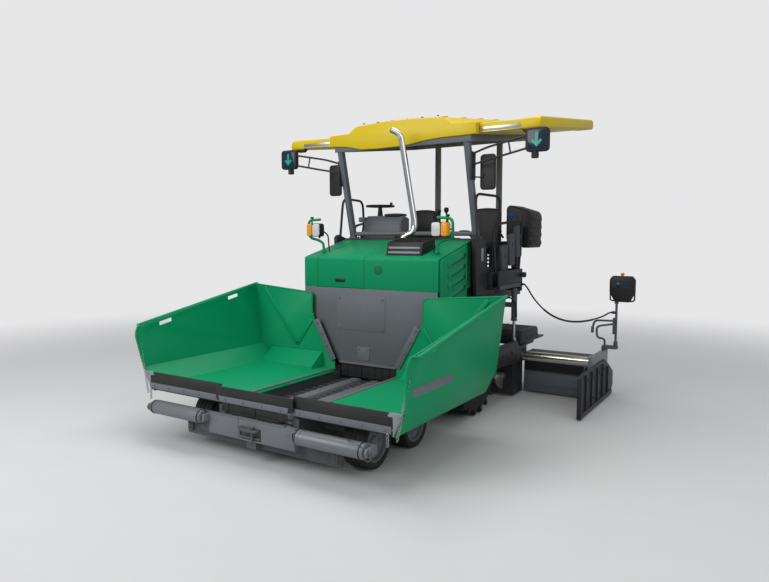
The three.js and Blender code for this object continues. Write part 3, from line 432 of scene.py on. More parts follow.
BLUE_GREY = Finish(
    "blue grey paint", "grey", (0.165, 0.185, 0.215), 0.4, coat=0.1, bump=0.00008, cloud=0.08, wear=0.12,
    dust=0.1)
UNDER_BAND = Finish(
    "conveyor steel", "dark", (0.026, 0.026, 0.027), 0.5, metallic=0.3, fine=80.0, bump=0.0003, cloud=0.35,
    wear=0.2, dust=0.25)
DARK_TRIM = Finish("black trim", "dark", (0.01, 0.01, 0.011), 0.4, fine=300.0, bump=0.00006, cloud=0.1)
TUBE = Finish(
    "drawn tube", "steel", (0.62, 0.6, 0.55), 0.22, metallic=1.0, fine=30.0, stretch=(1.0, 16.0, 16.0),
    bump=0.00006, cloud=0.12, dust=0.05)
CHROME = Finish(
    "polished tube", "chrome", (0.72, 0.73, 0.74), 0.13, metallic=1.0, fine=30.0, bump=0.00002, cloud=0.05)
BLACK = Finish(
    "black plastic", "black", (0.012, 0.012, 0.013), 0.5, fine=520.0, bump=0.00012, cloud=0.15, dust=0.05)
VINYL = Finish("seat cover", "seat", (0.017, 0.017, 0.018), 0.55, fine=340.0, bump=0.0004, cloud=0.2, dust=0.05)
SHEATH = Finish("cable sheath", "cable", (0.01, 0.01, 0.011), 0.5, fine=400.0, bump=0.0001, cloud=0.1)
LIGHT = Finish(
    "pale grey trim", "grey", (0.24, 0.25, 0.27), 0.45, bump=0.00006, cloud=0.05, wear=0.05, specular=0.25)
LENS = Finish(
    "clear lens", "chrome", (0.62, 0.62, 0.6), 0.12, fine=120.0, stretch=(6.0, 6.0, 0.5), bump=0.0006,
    cloud=0.06, glow=0.04)
AMBER = Finish(
    "amber lens", "chrome", (0.8, 0.33, 0.01), 0.18, fine=120.0, stretch=(6.0, 6.0, 0.5), bump=0.0006,
    cloud=0.15, glow=0.04)
SCREEN = Finish(
    "signal screen", "black", (0.005, 0.022, 0.045), 0.14, fine=200.0, bump=0.00001, cloud=0.1, glow=0.1)
ARROW = Finish("signal arrow", "black", (0.02, 0.28, 0.18), 0.3, fine=900.0, bump=0.00002, cloud=0.2, glow=0.15)
MIRROR = Finish(
    "mirror glass", "chrome", (0.8, 0.82, 0.84), 0.06, metallic=1.0, fine=4.0, bump=0.00001, cloud=0.02)
ORANGE = Finish("orange knob", "black", (0.62, 0.16, 0.02), 0.4, fine=300.0, bump=0.00005, cloud=0.08)
BLUE = Finish("blue cloth", "seat", (0.01, 0.05, 0.3), 0.7, fine=900.0, bump=0.0003, cloud=0.2)


# ---------------------------------------------------------------- modelling


def rounded(points: Sequence[Point], bend: float, steps: int = 6) -> list[Vector]:
    """A path through the points with its corners rounded.

    Args:
        points: the corners.
        bend: how far from a corner its curve starts.
        steps: points along each curve.

    Returns:
        The path's points.
    """
    corners = [Vector(p) for p in points]
    path = [corners[0]]
    for before, corner, after in zip(corners, corners[1:], corners[2:]):
        reach = min(bend, (before - corner).length * 0.49, (after - corner).length * 0.49)
        enter = corner + (before - corner).normalized() * reach
        leave = corner + (after - corner).normalized() * reach
        for i in range(steps + 1):
            t = i / steps
            path.append(enter * (1 - t) ** 2 + corner * (2 * t * (1 - t)) + leave * t**2)
    path.append(corners[-1])
    return path


def arc(
    centre: tuple[float, float], radius: float, start: float, end: float, steps: int = 8
) -> list[tuple[float, float]]:
    """Points of an arc from one angle to another, in degrees."""
    angles = [math.radians(start + (end - start) * i / steps) for i in range(steps + 1)]
    return [(centre[0] + radius * math.cos(a), centre[1] + radius * math.sin(a)) for a in angles]


def softened_rectangle(
    low: tuple[float, float], high: tuple[float, float], radius: float
) -> list[tuple[float, float]]:
    """The outline of a rectangle with round corners."""
    (a0, b0), (a1, b1) = low, high
    corners = (
        ((a1 - radius, b1 - radius), 0), ((a0 + radius, b1 - radius), 90), ((a0 + radius, b0 + radius), 180),
        ((a1 - radius, b0 + radius), 270))
    return [p for centre, turn in corners for p in arc(centre, radius, turn, turn + 90, 5)]


class Shape:
    """A mesh being modelled with bmesh operators."""

    def __init__(self) -> None:
        """Starts with nothing in it."""
        self.bm = bmesh.new()

    def _round(
        self, verts: Iterable[bmesh.types.BMVert], width: float, segments: int, sharp: float = 25.0
    ) -> None:
        """Bevels the edges between the given vertices that are sharper than an angle in degrees."""
        if width <= 0.0:
            return
        inside = set(verts)
        edges = {
            e
            for v in inside for e in v.link_edges if e.other_vert(v) in inside and len(e.link_faces) == 2}
        chosen = [e for e in edges if e.calc_face_angle(0.0) > math.radians(sharp)]
        bmesh.ops.bevel(
            self.bm, geom=chosen, offset=width, offset_type="OFFSET", segments=segments, profile=0.5,
            affect="EDGES", clamp_overlap=True, material=-1,
        )

    def box(self, low: Point, high: Point, edge: float = 0.004, segments: int = 2) -> "Shape":
        """Adds a box with rounded edges.

        Args:
            low: its lowest corner.
            high: its highest corner.
            edge: radius of its edges.
            segments: facets across an edge.

        Returns:
            This shape.
        """
        start, end = Vector(low), Vector(high)
        verts = bmesh.ops.create_cube(self.bm, size=1.0)["verts"]
        bmesh.ops.scale(self.bm, verts=verts, vec=end - start)
        bmesh.ops.translate(self.bm, verts=verts, vec=(start + end) / 2)
        self._round(verts, min(edge, min(end - start) * 0.45), segments)
        return self

    def prism(
        self, outline: Outline, axis: Axis, start: float, end: float, edge: float = 0.004, segments: int = 2
    ) -> "Shape":
        """Adds an outline made thick along an axis.

        Args:
            outline: points in the other two coordinates, in X, Y, Z order.
            axis: the direction of its thickness.
            start: where it starts along the axis.
            end: where it ends.
            edge: radius of its edges.
            segments: facets across an edge.

        Returns:
            This shape.
        """
        verts = [self.bm.verts.new(axis.point(start, a, b)) for a, b in outline]
        face = self.bm.faces.new(verts)
        made = bmesh.ops.extrude_face_region(self.bm, geom=[face])["geom"]
        top = [g for g in made if isinstance(g, bmesh.types.BMVert)]
        bmesh.ops.translate(self.bm, verts=top, vec=axis.vector() * (end - start))
        every = set(verts) | set(top)
        bmesh.ops.recalc_face_normals(self.bm, faces=list({f for v in every for f in v.link_faces}))
        self._round(every, edge, segments)
        return self

    def rod(
        self, start: Point, end: Point, radius: float, tip: float | None = None, sides: int = 24,
        edge: float = 0.0
    ) -> "Shape":
        """Adds a round rod or a cone between two points.

        Args:
            start: the middle of its first end.
            end: the middle of its other end.
            radius: its radius at the start.
            tip: its radius at the end, if that differs.
            sides: facets round it.
            edge: radius of its end edges.

        Returns:
            This shape.
        """
        a, b = Vector(start), Vector(end)
        turn = (b - a).to_track_quat("Z", "Y").to_matrix().to_4x4()
        made = bmesh.ops.create_cone(
            self.bm, cap_ends=True, cap_tris=False, segments=sides, radius1=radius,
            radius2=radius if tip is None else tip, depth=(b - a).length,
            matrix=Matrix.Translation((a + b) / 2) @ turn,
        )
        self._round(made["verts"], edge, 2, 40.0)
        return self

    def bar(
        self, start: Point, end: Point, width: float, depth: float, normal: Vector, edge: float = 0.004
    ) -> "Shape":
        """Adds a flat bar between two points, with its wide face towards the normal."""
        a, b = Vector(start), Vector(end)
        along = (b - a).normalized()
        across = normal.cross(along).normalized()
        turn = Matrix((across, along, normal.normalized())).transposed().to_4x4()
        verts = bmesh.ops.create_cube(self.bm, size=1.0)["verts"]
        bmesh.ops.scale(self.bm, verts=verts, vec=(width, (b - a).length, depth))
        bmesh.ops.transform(self.bm, verts=verts, matrix=Matrix.Translation((a + b) / 2) @ turn)
        self._round(verts, edge, 2)
        return self

    def tube(
        self, points: Sequence[Point], radius: float, bend: float = 0.06, sides: int = 12, steps: int = 6
    ) -> "Shape":
        """Adds a bent round tube.

        Args:
            points: its corners.
            radius: its radius.
            bend: how far from a corner the bend starts.
            sides: facets round it.
            steps: facets along each bend.

        Returns:
            This shape.
        """
        return self.sweep(rounded(points, bend, steps), radius, sides)

    def sweep(self, path: Sequence[Vector], radius: float, sides: int = 12) -> "Shape":
        """Extrudes a circle along a path."""
        heading = (path[1] - path[0]).normalized()
        place = Matrix.Translation(path[0]) @ heading.to_track_quat("Z", "Y").to_matrix().to_4x4()
        made = bmesh.ops.create_circle(self.bm, cap_ends=True, segments=sides, radius=radius, matrix=place)
        ring = list({e for v in made["verts"] for e in v.link_edges})
        touched = set(made["verts"])
        for i in range(1, len(path)):
            after = path[min(i + 1, len(path) - 1)]
            new_heading = (after - path[i - 1]).normalized()
            turn = heading.rotation_difference(new_heading).to_matrix().to_4x4()
            out = bmesh.ops.extrude_edge_only(self.bm, edges=ring)["geom"]
            verts = [g for g in out if isinstance(g, bmesh.types.BMVert)]
            fresh = set(verts)
            ring = [g for g in out if isinstance(g, bmesh.types.BMEdge) and set(g.verts) <= fresh]
            move = Matrix.Translation(path[i]) @ turn @ Matrix.Translation(-path[i - 1])
            bmesh.ops.transform(self.bm, verts=verts, matrix=move)
            heading = new_heading
            touched |= fresh
        bmesh.ops.contextual_create(self.bm, geom=ring)
        bmesh.ops.recalc_face_normals(self.bm, faces=list({f for v in touched for f in v.link_faces}))
        return self

    def lathe(self, profile: Outline, axis: Axis, centre: Point, steps: int = 48) -> "Shape":
        """Spins a profile round an axis.

        Args:
            profile: points as place along the axis and radius, closed or ending on the axis.
            axis: the axis it turns about.
            centre: a point on the axis.
            steps: facets round it.

        Returns:
            This shape.
        """
        middle = Vector(centre)
        out = Axis.Z if axis is not Axis.Z else Axis.X
        verts = [
            self.bm.verts.new(middle + axis.vector() * along + out.vector() * radius) for along,
            radius in profile]
        edges = [self.bm.edges.new(two) for two in zip(verts, verts[1:])]
        if profile[0][1] > 0.0:
            edges.append(self.bm.edges.new((verts[-1], verts[0])))
        before = set(self.bm.faces)
        bmesh.ops.spin(
            self.bm, geom=verts + edges, cent=middle, axis=axis.vector(), angle=math.tau, steps=steps,
            use_merge=True, use_duplicate=False,
        )
        faces = [f for f in self.bm.faces if f not in before]
        bmesh.ops.remove_doubles(self.bm, verts=list({v for f in faces for v in f.verts}), dist=1e-6)
        bmesh.ops.recalc_face_normals(self.bm, faces=[f for f in faces if f.is_valid])
        return self

    def bolts(
        self, places: Iterable[Point], normal: Point, radius: float = 0.013, height: float = 0.01
    ) -> "Shape":
        """Adds hexagon heads on washers, standing on their places towards the normal."""
        up = Vector(normal).normalized()
        for place in places:
            foot = Vector(place)
            self.rod(foot, foot + up * height * 0.3, radius * 1.35, sides=14)
            self.rod(foot, foot + up * height, radius, sides=6, edge=height * 0.15)
        return self

    def around(self, steps: int, axis: Axis, centre: Point, part: "Shape") -> "Shape":
        """Adds copies of another shape, evenly round an axis."""
        for i in range(steps):
            turned = part.copy()
            turn = Matrix.Rotation(math.tau * i / steps, 4, axis.vector())
            middle = Matrix.Translation(Vector(centre))
            bmesh.ops.transform(turned.bm, verts=turned.bm.verts[:], matrix=middle @ turn @ middle.inverted())
            self.take(turned)
        return self

    def along(self, offsets: Iterable[Point], part: "Shape") -> "Shape":
        """Adds a copy of another shape at each offset."""
        for offset in offsets:
            moved = part.copy()
            bmesh.ops.translate(moved.bm, verts=moved.bm.verts[:], vec=Vector(offset))
            self.take(moved)
        return self

    def take(self, other: "Shape") -> "Shape":
        """Adds everything from another shape, which is used up."""
        carrier = bpy.data.meshes.new("carrier")
        other.bm.to_mesh(carrier)
        other.bm.free()
        self.bm.from_mesh(carrier)
        bpy.data.meshes.remove(carrier)
        return self

    def copy(self) -> "Shape":
        """A copy of this shape."""
        made = Shape()
        made.bm.free()
        made.bm = self.bm.copy()
        return made

    def mirrored(self) -> "Shape":
        """A copy on the other side of the machine."""
        made = self.copy()
        bmesh.ops.scale(made.bm, verts=made.bm.verts[:], vec=(-1.0, 1.0, 1.0))
        bmesh.ops.reverse_faces(made.bm, faces=made.bm.faces[:])
        return made

    def moved(self, offset: Point) -> "Shape":
        """This shape, moved."""
        bmesh.ops.translate(self.bm, verts=self.bm.verts[:], vec=Vector(offset))
        return self

    def turned(self, degrees: float, axis: Axis, centre: Point) -> "Shape":
        """This shape, turned about a line through a point."""
        middle = Matrix.Translation(Vector(centre))
        turn = Matrix.Rotation(math.radians(degrees), 4, axis.vector())
        bmesh.ops.transform(self.bm, verts=self.bm.verts[:], matrix=middle @ turn @ middle.inverted())
        return self

    @classmethod
    def of_node(cls, node: str, edge: float = 0.004, segments: int = 2) -> "Shape":
        """A copy of a frame node with its flat faces joined and its edges rounded.

        Args:
            node: the node's name.
            edge: radius of its edges.
            segments: facets across an edge.

        Returns:
            The new shape.
        """
        made = cls()
        made.bm.from_mesh(frame["nodes"][node].data)
        bmesh.ops.translate(made.bm, verts=made.bm.verts[:], vec=-SHIFT)
        bmesh.ops.remove_doubles(made.bm, verts=made.bm.verts[:], dist=2e-5)
        bmesh.ops.dissolve_limit(
            made.bm, angle_limit=math.radians(1.0), verts=made.bm.verts[:], edges=made.bm.edges[:],
            use_dissolve_boundaries=False,
        )
        made._round(made.bm.verts[:], edge, segments)
        return made


@dataclass
class SubAssembly:
    """A group of pieces that are built and dressed together.

    Attributes:
        pieces: the finished objects.
    """

    pieces: list[bpy.types.Object] = field(default_factory=list, init=False)

    def dress(
        self, shape: Shape, name: str, finish: Finish, body: str, stands_for: Sequence[str] = (),
        smooth: float = 32.0,
    ) -> bpy.types.Object:
        """Turns a shape into a finished piece on its body.

        Args:
            shape: the model, which is used up.
            name: the piece's name.
            finish: its finish.
            body: the body it rides on.
            stands_for: the frame nodes it replaces.
            smooth: edges sharper than this many degrees stay sharp.

        Returns:
            The piece.
        """
        bmesh.ops.translate(shape.bm, verts=shape.bm.verts[:], vec=SHIFT)
        mesh = bpy.data.meshes.new(name)
        shape.bm.to_mesh(mesh)
        shape.bm.free()
        for polygon in mesh.polygons:
            polygon.use_smooth = True
        mesh.set_sharp_from_angle(angle=math.radians(smooth))
        piece = bpy.data.objects.new(name, mesh)
        bpy.context.scene.collection.objects.link(piece)
        mesh.materials.append(finish.material())
        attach(piece, body)
        if stands_for:
            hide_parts(*stands_for)
        self.pieces.append(piece)
        return piece

    def dress_pair(
        self, shape: Shape, name: str, finish: Finish, body: str, stands_for: Sequence[str] = (),
        smooth: float = 32.0,
    ) -> None:
        """Dresses a left-hand shape and its mirror image. {} in the body and nodes takes the side's name."""
        other = shape.mirrored()
        for side, model in ((Side.LEFT, shape), (Side.RIGHT, other)):
            nodes = [node.format(side.word) for node in stands_for]
            self.dress(model, f"{name}_{side.word}", finish, body.format(side.word), nodes, smooth)

    def report(self) -> None:
        """Logs each piece with its body and its number of faces."""
        for piece in self.pieces:
            LOG.info(
                "%s: %s rides on %s, %d faces", type(self).__name__, piece.name, body_of(piece),
                len(piece.data.polygons))


# ---------------------------------------------------------------- studio

PALE = (0.8, 0.8, 0.81, 1.0)


@dataclass(frozen=True)
class Studio:
    """The floor, the light and the camera.

    Attributes:
        eye: the camera's place.
        yaw: its heading, in degrees from +Y towards -X.
        pitch: how far it looks down, in degrees.
        lens: focal length in millimetres on a 36 mm sensor.
    """

    eye: Point = (4.293, -6.399, 2.174)
    yaw: float = 32.36
    pitch: float = 4.87
    lens: float = 29.95

    def build(self) -> None:
        """Makes the camera first, then the floor and the light."""
        self._camera()
        self._floor()
        self._world()
        self._lamp("key", (-3.5, -9.0, 6.5), 6.0, 560.0)
        self._lamp("fill", (7.5, -3.5, 5.0), 6.0, 130.0)
        self._lamp("top", (0.0, 1.0, 9.0), 7.0, 430.0)
        bpy.context.scene.view_settings.view_transform = "Standard"

    def _camera(self) -> None:
        """Places the camera where the shape's straight edges say it stood."""
        lens = bpy.data.cameras.new("camera")
        lens.lens = self.lens
        lens.sensor_width = 36.0
        camera = bpy.data.objects.new("camera", lens)
        camera.location = Vector(self.eye) + SHIFT
        camera.rotation_euler = (math.radians(90.0 - self.pitch), 0.0, math.radians(self.yaw))
        bpy.context.scene.collection.objects.link(camera)
        bpy.context.scene.camera = camera

    @staticmethod
    def _floor() -> None:
        """A wide pale floor just under the wheels, which fades into the background far out."""
        bm = bmesh.new()
        bmesh.ops.create_grid(
            bm, x_segments=1, y_segments=1, size=60.0, matrix=Matrix.Translation((0.0, 0.0, -0.001)))
        mesh = bpy.data.meshes.new("floor")
        bm.to_mesh(mesh)
        bm.free()
        floor = bpy.data.objects.new("floor", mesh)
        bpy.context.scene.collection.objects.link(floor)
        made = bpy.data.materials.new("floor")
        made.use_nodes = True
        nodes = NodeTree(made.node_tree)
        place = nodes.node("ShaderNodeTexCoord").outputs["Object"]
        grain = nodes.node("ShaderNodeGroup", node_tree=GROUPS["grain"])
        nodes.link(place, grain.inputs["Vector"])
        shader = nodes.node("ShaderNodeBsdfPrincipled", Roughness=0.75)
        shader.inputs["Specular IOR Level"].default_value = 0.1
        nodes.link(
            nodes.mix(grain.outputs["Cloud"], (0.6, 0.6, 0.605), (0.63, 0.63, 0.635)),
            shader.inputs["Base Color"])
        reach = nodes.node("ShaderNodeVectorMath", operation="LENGTH")
        nodes.link(place, reach.inputs[0])
        fade = nodes.node("ShaderNodeMapRange", interpolation_type="SMOOTHSTEP", From_Min=5.0, From_Max=13.0)
        nodes.link(reach.outputs["Value"], fade.inputs["Value"])
        seen = nodes.node("ShaderNodeLightPath").outputs["Is Camera Ray"]
        far = nodes.node("ShaderNodeEmission", Strength=1.0)
        far.inputs["Color"].default_value = PALE
        mixed = nodes.node("ShaderNodeMixShader")
        nodes.link(nodes.math("MULTIPLY", fade.outputs["Result"], seen), mixed.inputs[0])
        nodes.link(shader.outputs[0], mixed.inputs[1])
        nodes.link(far.outputs[0], mixed.inputs[2])
        output = nodes.node("ShaderNodeOutputMaterial")
        nodes.link(mixed.outputs[0], output.inputs["Surface"])
        mesh.materials.append(made)

    @staticmethod
    def _world() -> None:
        """Soft light from all round, with a pale background for the camera and glass."""
        world = bpy.data.worlds.new("studio")
        bpy.context.scene.world = world
        world.use_nodes = True
        nodes = NodeTree(world.node_tree)
        path = nodes.node("ShaderNodeLightPath")
        seen = nodes.math("MAXIMUM", path.outputs["Is Camera Ray"], path.outputs["Is Transmission Ray"])
        soft = nodes.node("ShaderNodeBackground", Strength=0.42)
        soft.inputs["Color"].default_value = (0.95, 0.97, 1.0, 1.0)
        pale = nodes.node("ShaderNodeBackground", Strength=1.0)
        pale.inputs["Color"].default_value = PALE
        mixed = nodes.node("ShaderNodeMixShader")
        nodes.link(seen, mixed.inputs[0])
        nodes.link(soft.outputs[0], mixed.inputs[1])
        nodes.link(pale.outputs[0], mixed.inputs[2])
        output = nodes.node("ShaderNodeOutputWorld")
        nodes.link(mixed.outputs[0], output.inputs["Surface"])

    @staticmethod
    def _lamp(name: str, place: Point, size: float, power: float) -> None:
        """A large soft lamp aimed at the middle of the machine."""
        light = bpy.data.lights.new(name, "AREA")
        light.size = size
        light.energy = power
        lamp = bpy.data.objects.new(name, light)
        lamp.location = place
        aim = Vector((0.0, 0.0, 1.3)) - Vector(place)
        lamp.rotation_euler = aim.to_track_quat("-Z", "Y").to_euler()
        bpy.context.scene.collection.objects.link(lamp)


# ---------------------------------------------------------------- running gear and frame


def wing_side_x(z: float) -> float:
    """The X of a hopper side wall's outer face at a height."""
    return 1.68 + (z - 0.742) * 0.1 / 0.819


def wing_top_z(y: float) -> float:
    """The height of a hopper side wall's top edge."""
    return 1.557 + 0.1852 * y


def hood_top_z(y: float) -> float:
    """The height of the hood's top face."""
    return 1.93 + 0.2439 * (y - 0.04)


@dataclass
class RunningGear(SubAssembly):
    """Driven rear wheels, steered front wheels, knuckles and the rear axle."""

    lugs: int = 22

    def build(self) -> None:
        """Builds the wheels on both sides and the axle between them."""
        self._rear()
        for place, y in (("front", -1.5), ("second", -0.77)):
            self._front(place, y)
        axle = Shape.of_node("rear_axle", 0.006)
        for x in (-0.7, 0.7):
            axle.rod((x - 0.02, REAR_AXLE_Y, 0.64), (x + 0.02, REAR_AXLE_Y, 0.64), 0.108, sides=40, edge=0.006)
        self.dress(axle, "axle_housing", UNDER, "tractor", ["rear_axle"])

    def _rear(self) -> None:
        """Lugged tyres on deep bolted rims."""
        centre = (0.98, REAR_AXLE_Y, 0.64)
        section = [
            (-0.15, 0.335), (-0.168, 0.35), (-0.176, 0.4), (-0.179, 0.47), (-0.172, 0.54), (-0.15, 0.59),
            (-0.11, 0.606),
            (0.0, 0.61), (0.11, 0.606), (0.15, 0.59), (0.172, 0.54), (0.179, 0.47), (0.176, 0.4),
            (0.168, 0.35), (0.15, 0.335),
        ]
        tyre = Shape().lathe(section, Axis.X, centre, 96)
        for sign in (-1.0, 1.0):
            lug = Shape()
            lug.prism(
                (
                    (-0.004, -0.03), (0.084, 0.03), (0.168, 0.052), (0.168, 0.102), (0.076, 0.078),
                    (-0.004, 0.014)),
                Axis.Z, 0.6, 0.626, 0.006)
            lug.prism(
                ((0.16, 0.052), (0.176, 0.056), (0.176, 0.098), (0.16, 0.102)), Axis.Z, 0.545, 0.622, 0.004)
            if sign < 0.0:
                lug = lug.mirrored().turned(180.0 / self.lugs, Axis.X, (0.0, 0.0, 0.0))
            tyre.around(self.lugs, Axis.X, centre, lug.moved(centre))
        for radius in (0.425, 0.5):
            tyre.lathe(
                [
                    (0.174, radius - 0.006), (0.181, radius - 0.003), (0.181, radius + 0.003),
                    (0.174, radius + 0.006)],
                Axis.X, centre, 64)
        self.dress_pair(tyre, "rear_tyre", TYRE, "rear_wheel_{}", ["rear_wheel_{}"])
        rim = Shape().lathe(
            [(-0.155, 0.32), (-0.165, 0.345), (-0.15, 0.35), (0.145, 0.345), (0.16, 0.35), (0.172, 0.345),
             (0.166, 0.33),
             (0.14, 0.318), (0.08, 0.3), (0.062, 0.25), (0.07, 0.15), (0.09, 0.128), (0.1, 0.118),
             (0.1, 0.093), (0.055, 0.093),
             (0.045, 0.15), (0.04, 0.3), (-0.12, 0.312)], Axis.X, centre, 72)
        rim.lathe(
            [(0.104, 0.0), (0.102, 0.06), (0.098, 0.092), (0.05, 0.092), (0.045, 0.0)], Axis.X, centre, 40)
        bolt = Shape().bolts([(1.048, REAR_AXLE_Y, 0.86)], (1.0, 0.0, 0.0), 0.016, 0.02)
        rim.around(10, Axis.X, centre, bolt)
        self.dress_pair(rim, "rear_rim", GREY, "rear_wheel_{}")

    def _front(self, place: str, y: float) -> None:
        """Solid tyres, their hubs and the kingpin knuckles."""
        centre = (0.99, y, 0.245)
        tyre = Shape().lathe(
            [(-0.112, 0.175), (-0.126, 0.19), (-0.13, 0.215), (-0.12, 0.236), (-0.095, 0.244),
             (-0.034, 0.245), (-0.03, 0.238), (-0.022, 0.238),
             (-0.018, 0.245), (0.018, 0.245), (0.022, 0.238), (0.03, 0.238), (0.034, 0.245), (0.095, 0.244),
             (0.12, 0.236), (0.13, 0.215),
             (0.126, 0.19), (0.112, 0.175)], Axis.X, centre, 80)
        self.dress_pair(tyre, f"{place}_tyre", TYRE, f"{place}_wheel_{{}}", [f"{place}_wheel_{{}}"])
        rim = Shape().lathe(
            [(-0.112, 0.178), (0.116, 0.178), (0.12, 0.17), (0.112, 0.16), (0.08, 0.15), (0.066, 0.12),
             (0.072, 0.07), (0.094, 0.056),
             (0.1, 0.04), (0.1, 0.0), (0.012, 0.0), (0.012, 0.034), (-0.06, 0.034), (-0.06, 0.15),
             (-0.112, 0.16)],
            Axis.X, centre, 56)
        bolt = Shape().bolts([(1.06, y, 0.345)], (1.0, 0.0, 0.0), 0.011, 0.012)
        rim.around(8, Axis.X, centre, bolt)
        self.dress_pair(rim, f"{place}_rim", GREY, f"{place}_wheel_{{}}")
        knuckle = Shape.of_node(f"{place}_knuckle_left", 0.004)
        knuckle.bolts([(0.787, y - 0.018, 0.22), (0.787, y + 0.018, 0.22)], (-1.0, 0.0, 0.0), 0.008, 0.006)
        self.dress_pair(
            knuckle, f"{place}_steering_knuckle", UNDER, f"{place}_knuckle_{{}}", [f"{place}_knuckle_{{}}"])


@dataclass
class Chassis(SubAssembly):
    """The main frame, the engine block under the hood and the conveyors."""

    slat_pitch: float = 0.115

    def build(self) -> None:
        """Builds the frame, its bolted joints, the engine and the conveyors."""
        frame_shape = Shape.of_node("chassis_frame", 0.006)
        for vert in frame_shape.bm.verts:
            if vert.co.y < -1.87 and vert.co.z < 0.255 and abs(vert.co.x) > 1.0:
                vert.co.x = math.copysign(abs(vert.co.x) - 0.11, vert.co.x)
        for sign in (-1.0, 1.0):
            frame_shape.box(
                (min(sign * 0.9, sign * 0.975), -1.945, 0.15), (max(sign * 0.9, sign * 0.975), -1.924, 0.262),
                0.006)
            frame_shape.bolts([(sign * 0.94, -1.945, z) for z in (0.18, 0.23)], (0.0, -1.0, 0.0), 0.011, 0.008)
        self.dress(frame_shape, "main_frame", UNDER, "tractor", ["chassis_frame"])
        fittings = Shape()
        for x in (0.662, 0.9):
            fittings.bolts([(x, 0.0045, z) for z in (0.57, 0.62, 0.67)], (0.0, -1.0, 0.0), 0.013, 0.008)
        fittings.bolts(
            [(0.6605, y, z) for y in (0.16, 0.28, 1.45, 1.6) for z in (0.58, 0.84)], (1.0, 0.0, 0.0), 0.015,
            0.012)
        fittings.rod((1.259, 0.095, 0.6), (1.274, 0.095, 0.6), 0.04, sides=32, edge=0.004)
        fittings.bolts([(1.274, 0.095, 0.6)], (1.0, 0.0, 0.0), 0.018, 0.012)
        fittings.rod((1.229, 1.65, 1.06), (1.229, 1.65, 1.075), 0.044, sides=32, edge=0.004)
        fittings.tube(
            [(1.255, 1.65, 1.1), (1.275, 1.62, 1.12), (1.275, 1.6, 1.3), (1.2, 1.58, 1.38), (1.0, 1.55, 1.3)],
            0.01, 0.05, 10)
        self.dress_pair(fittings, "frame_fittings", DARK, "tractor")
        engine = Shape.of_node("engine_block", 0.012)
        for z in (1.02, 1.16, 1.3):
            engine.box((-0.528, 0.14, z), (0.528, 0.75, z + 0.045), 0.008)
        self.dress(engine, "engine", DARK, "tractor", ["engine_block"])
        deck = Shape.of_node("conveyor_deck", 0.003)
        for low, high in ((-0.406, -0.236), (-0.062, 0.062), (0.236, 0.406)):
            bar = Shape().box((low, -1.89, 0.4), (high, -1.868, 0.4125), 0.003)
            deck.along([(0.0, i * self.slat_pitch, 0.0) for i in range(27)], bar)
        self.dress(deck, "conveyor_band", UNDER_BAND, "tractor", ["conveyor_deck"])
        covers = Shape().prism(
            ((0.068, 0.398), (0.232, 0.398), (0.212, 0.4345), (0.088, 0.4345)), Axis.Y, -1.872, -0.022, 0.004)
        covers.bolts([(0.15, -1.84 + 0.36 * i, 0.4345) for i in range(6)], (0.0, 0.0, 1.0), 0.01, 0.006)
        self.dress_pair(covers, "conveyor_cover", GREY, "tractor")
        curtain = Shape()
        for i in range(8):
            low = -0.408 + i * 0.102
            curtain.box(
                (low + 0.002, 0.002 + 0.003 * (i % 2), 0.44), (low + 0.101, 0.008 + 0.003 * (i % 2), 0.64),
                0.002)
        self.dress(curtain, "tunnel_curtain", RUBBER, "tractor")
        box_lid = Shape().box((-0.058, 1.492, 0.4205), (0.058, 1.608, 0.428), 0.004)
        box_lid.bolts(
            [(x, y, 0.428) for x in (-0.04, 0.04) for y in (1.51, 1.59)], (0.0, 0.0, 1.0), 0.008, 0.006)
        self.dress(box_lid, "auger_gearbox_lid", DARK, "tractor")


# ---------------------------------------------------------------- hopper


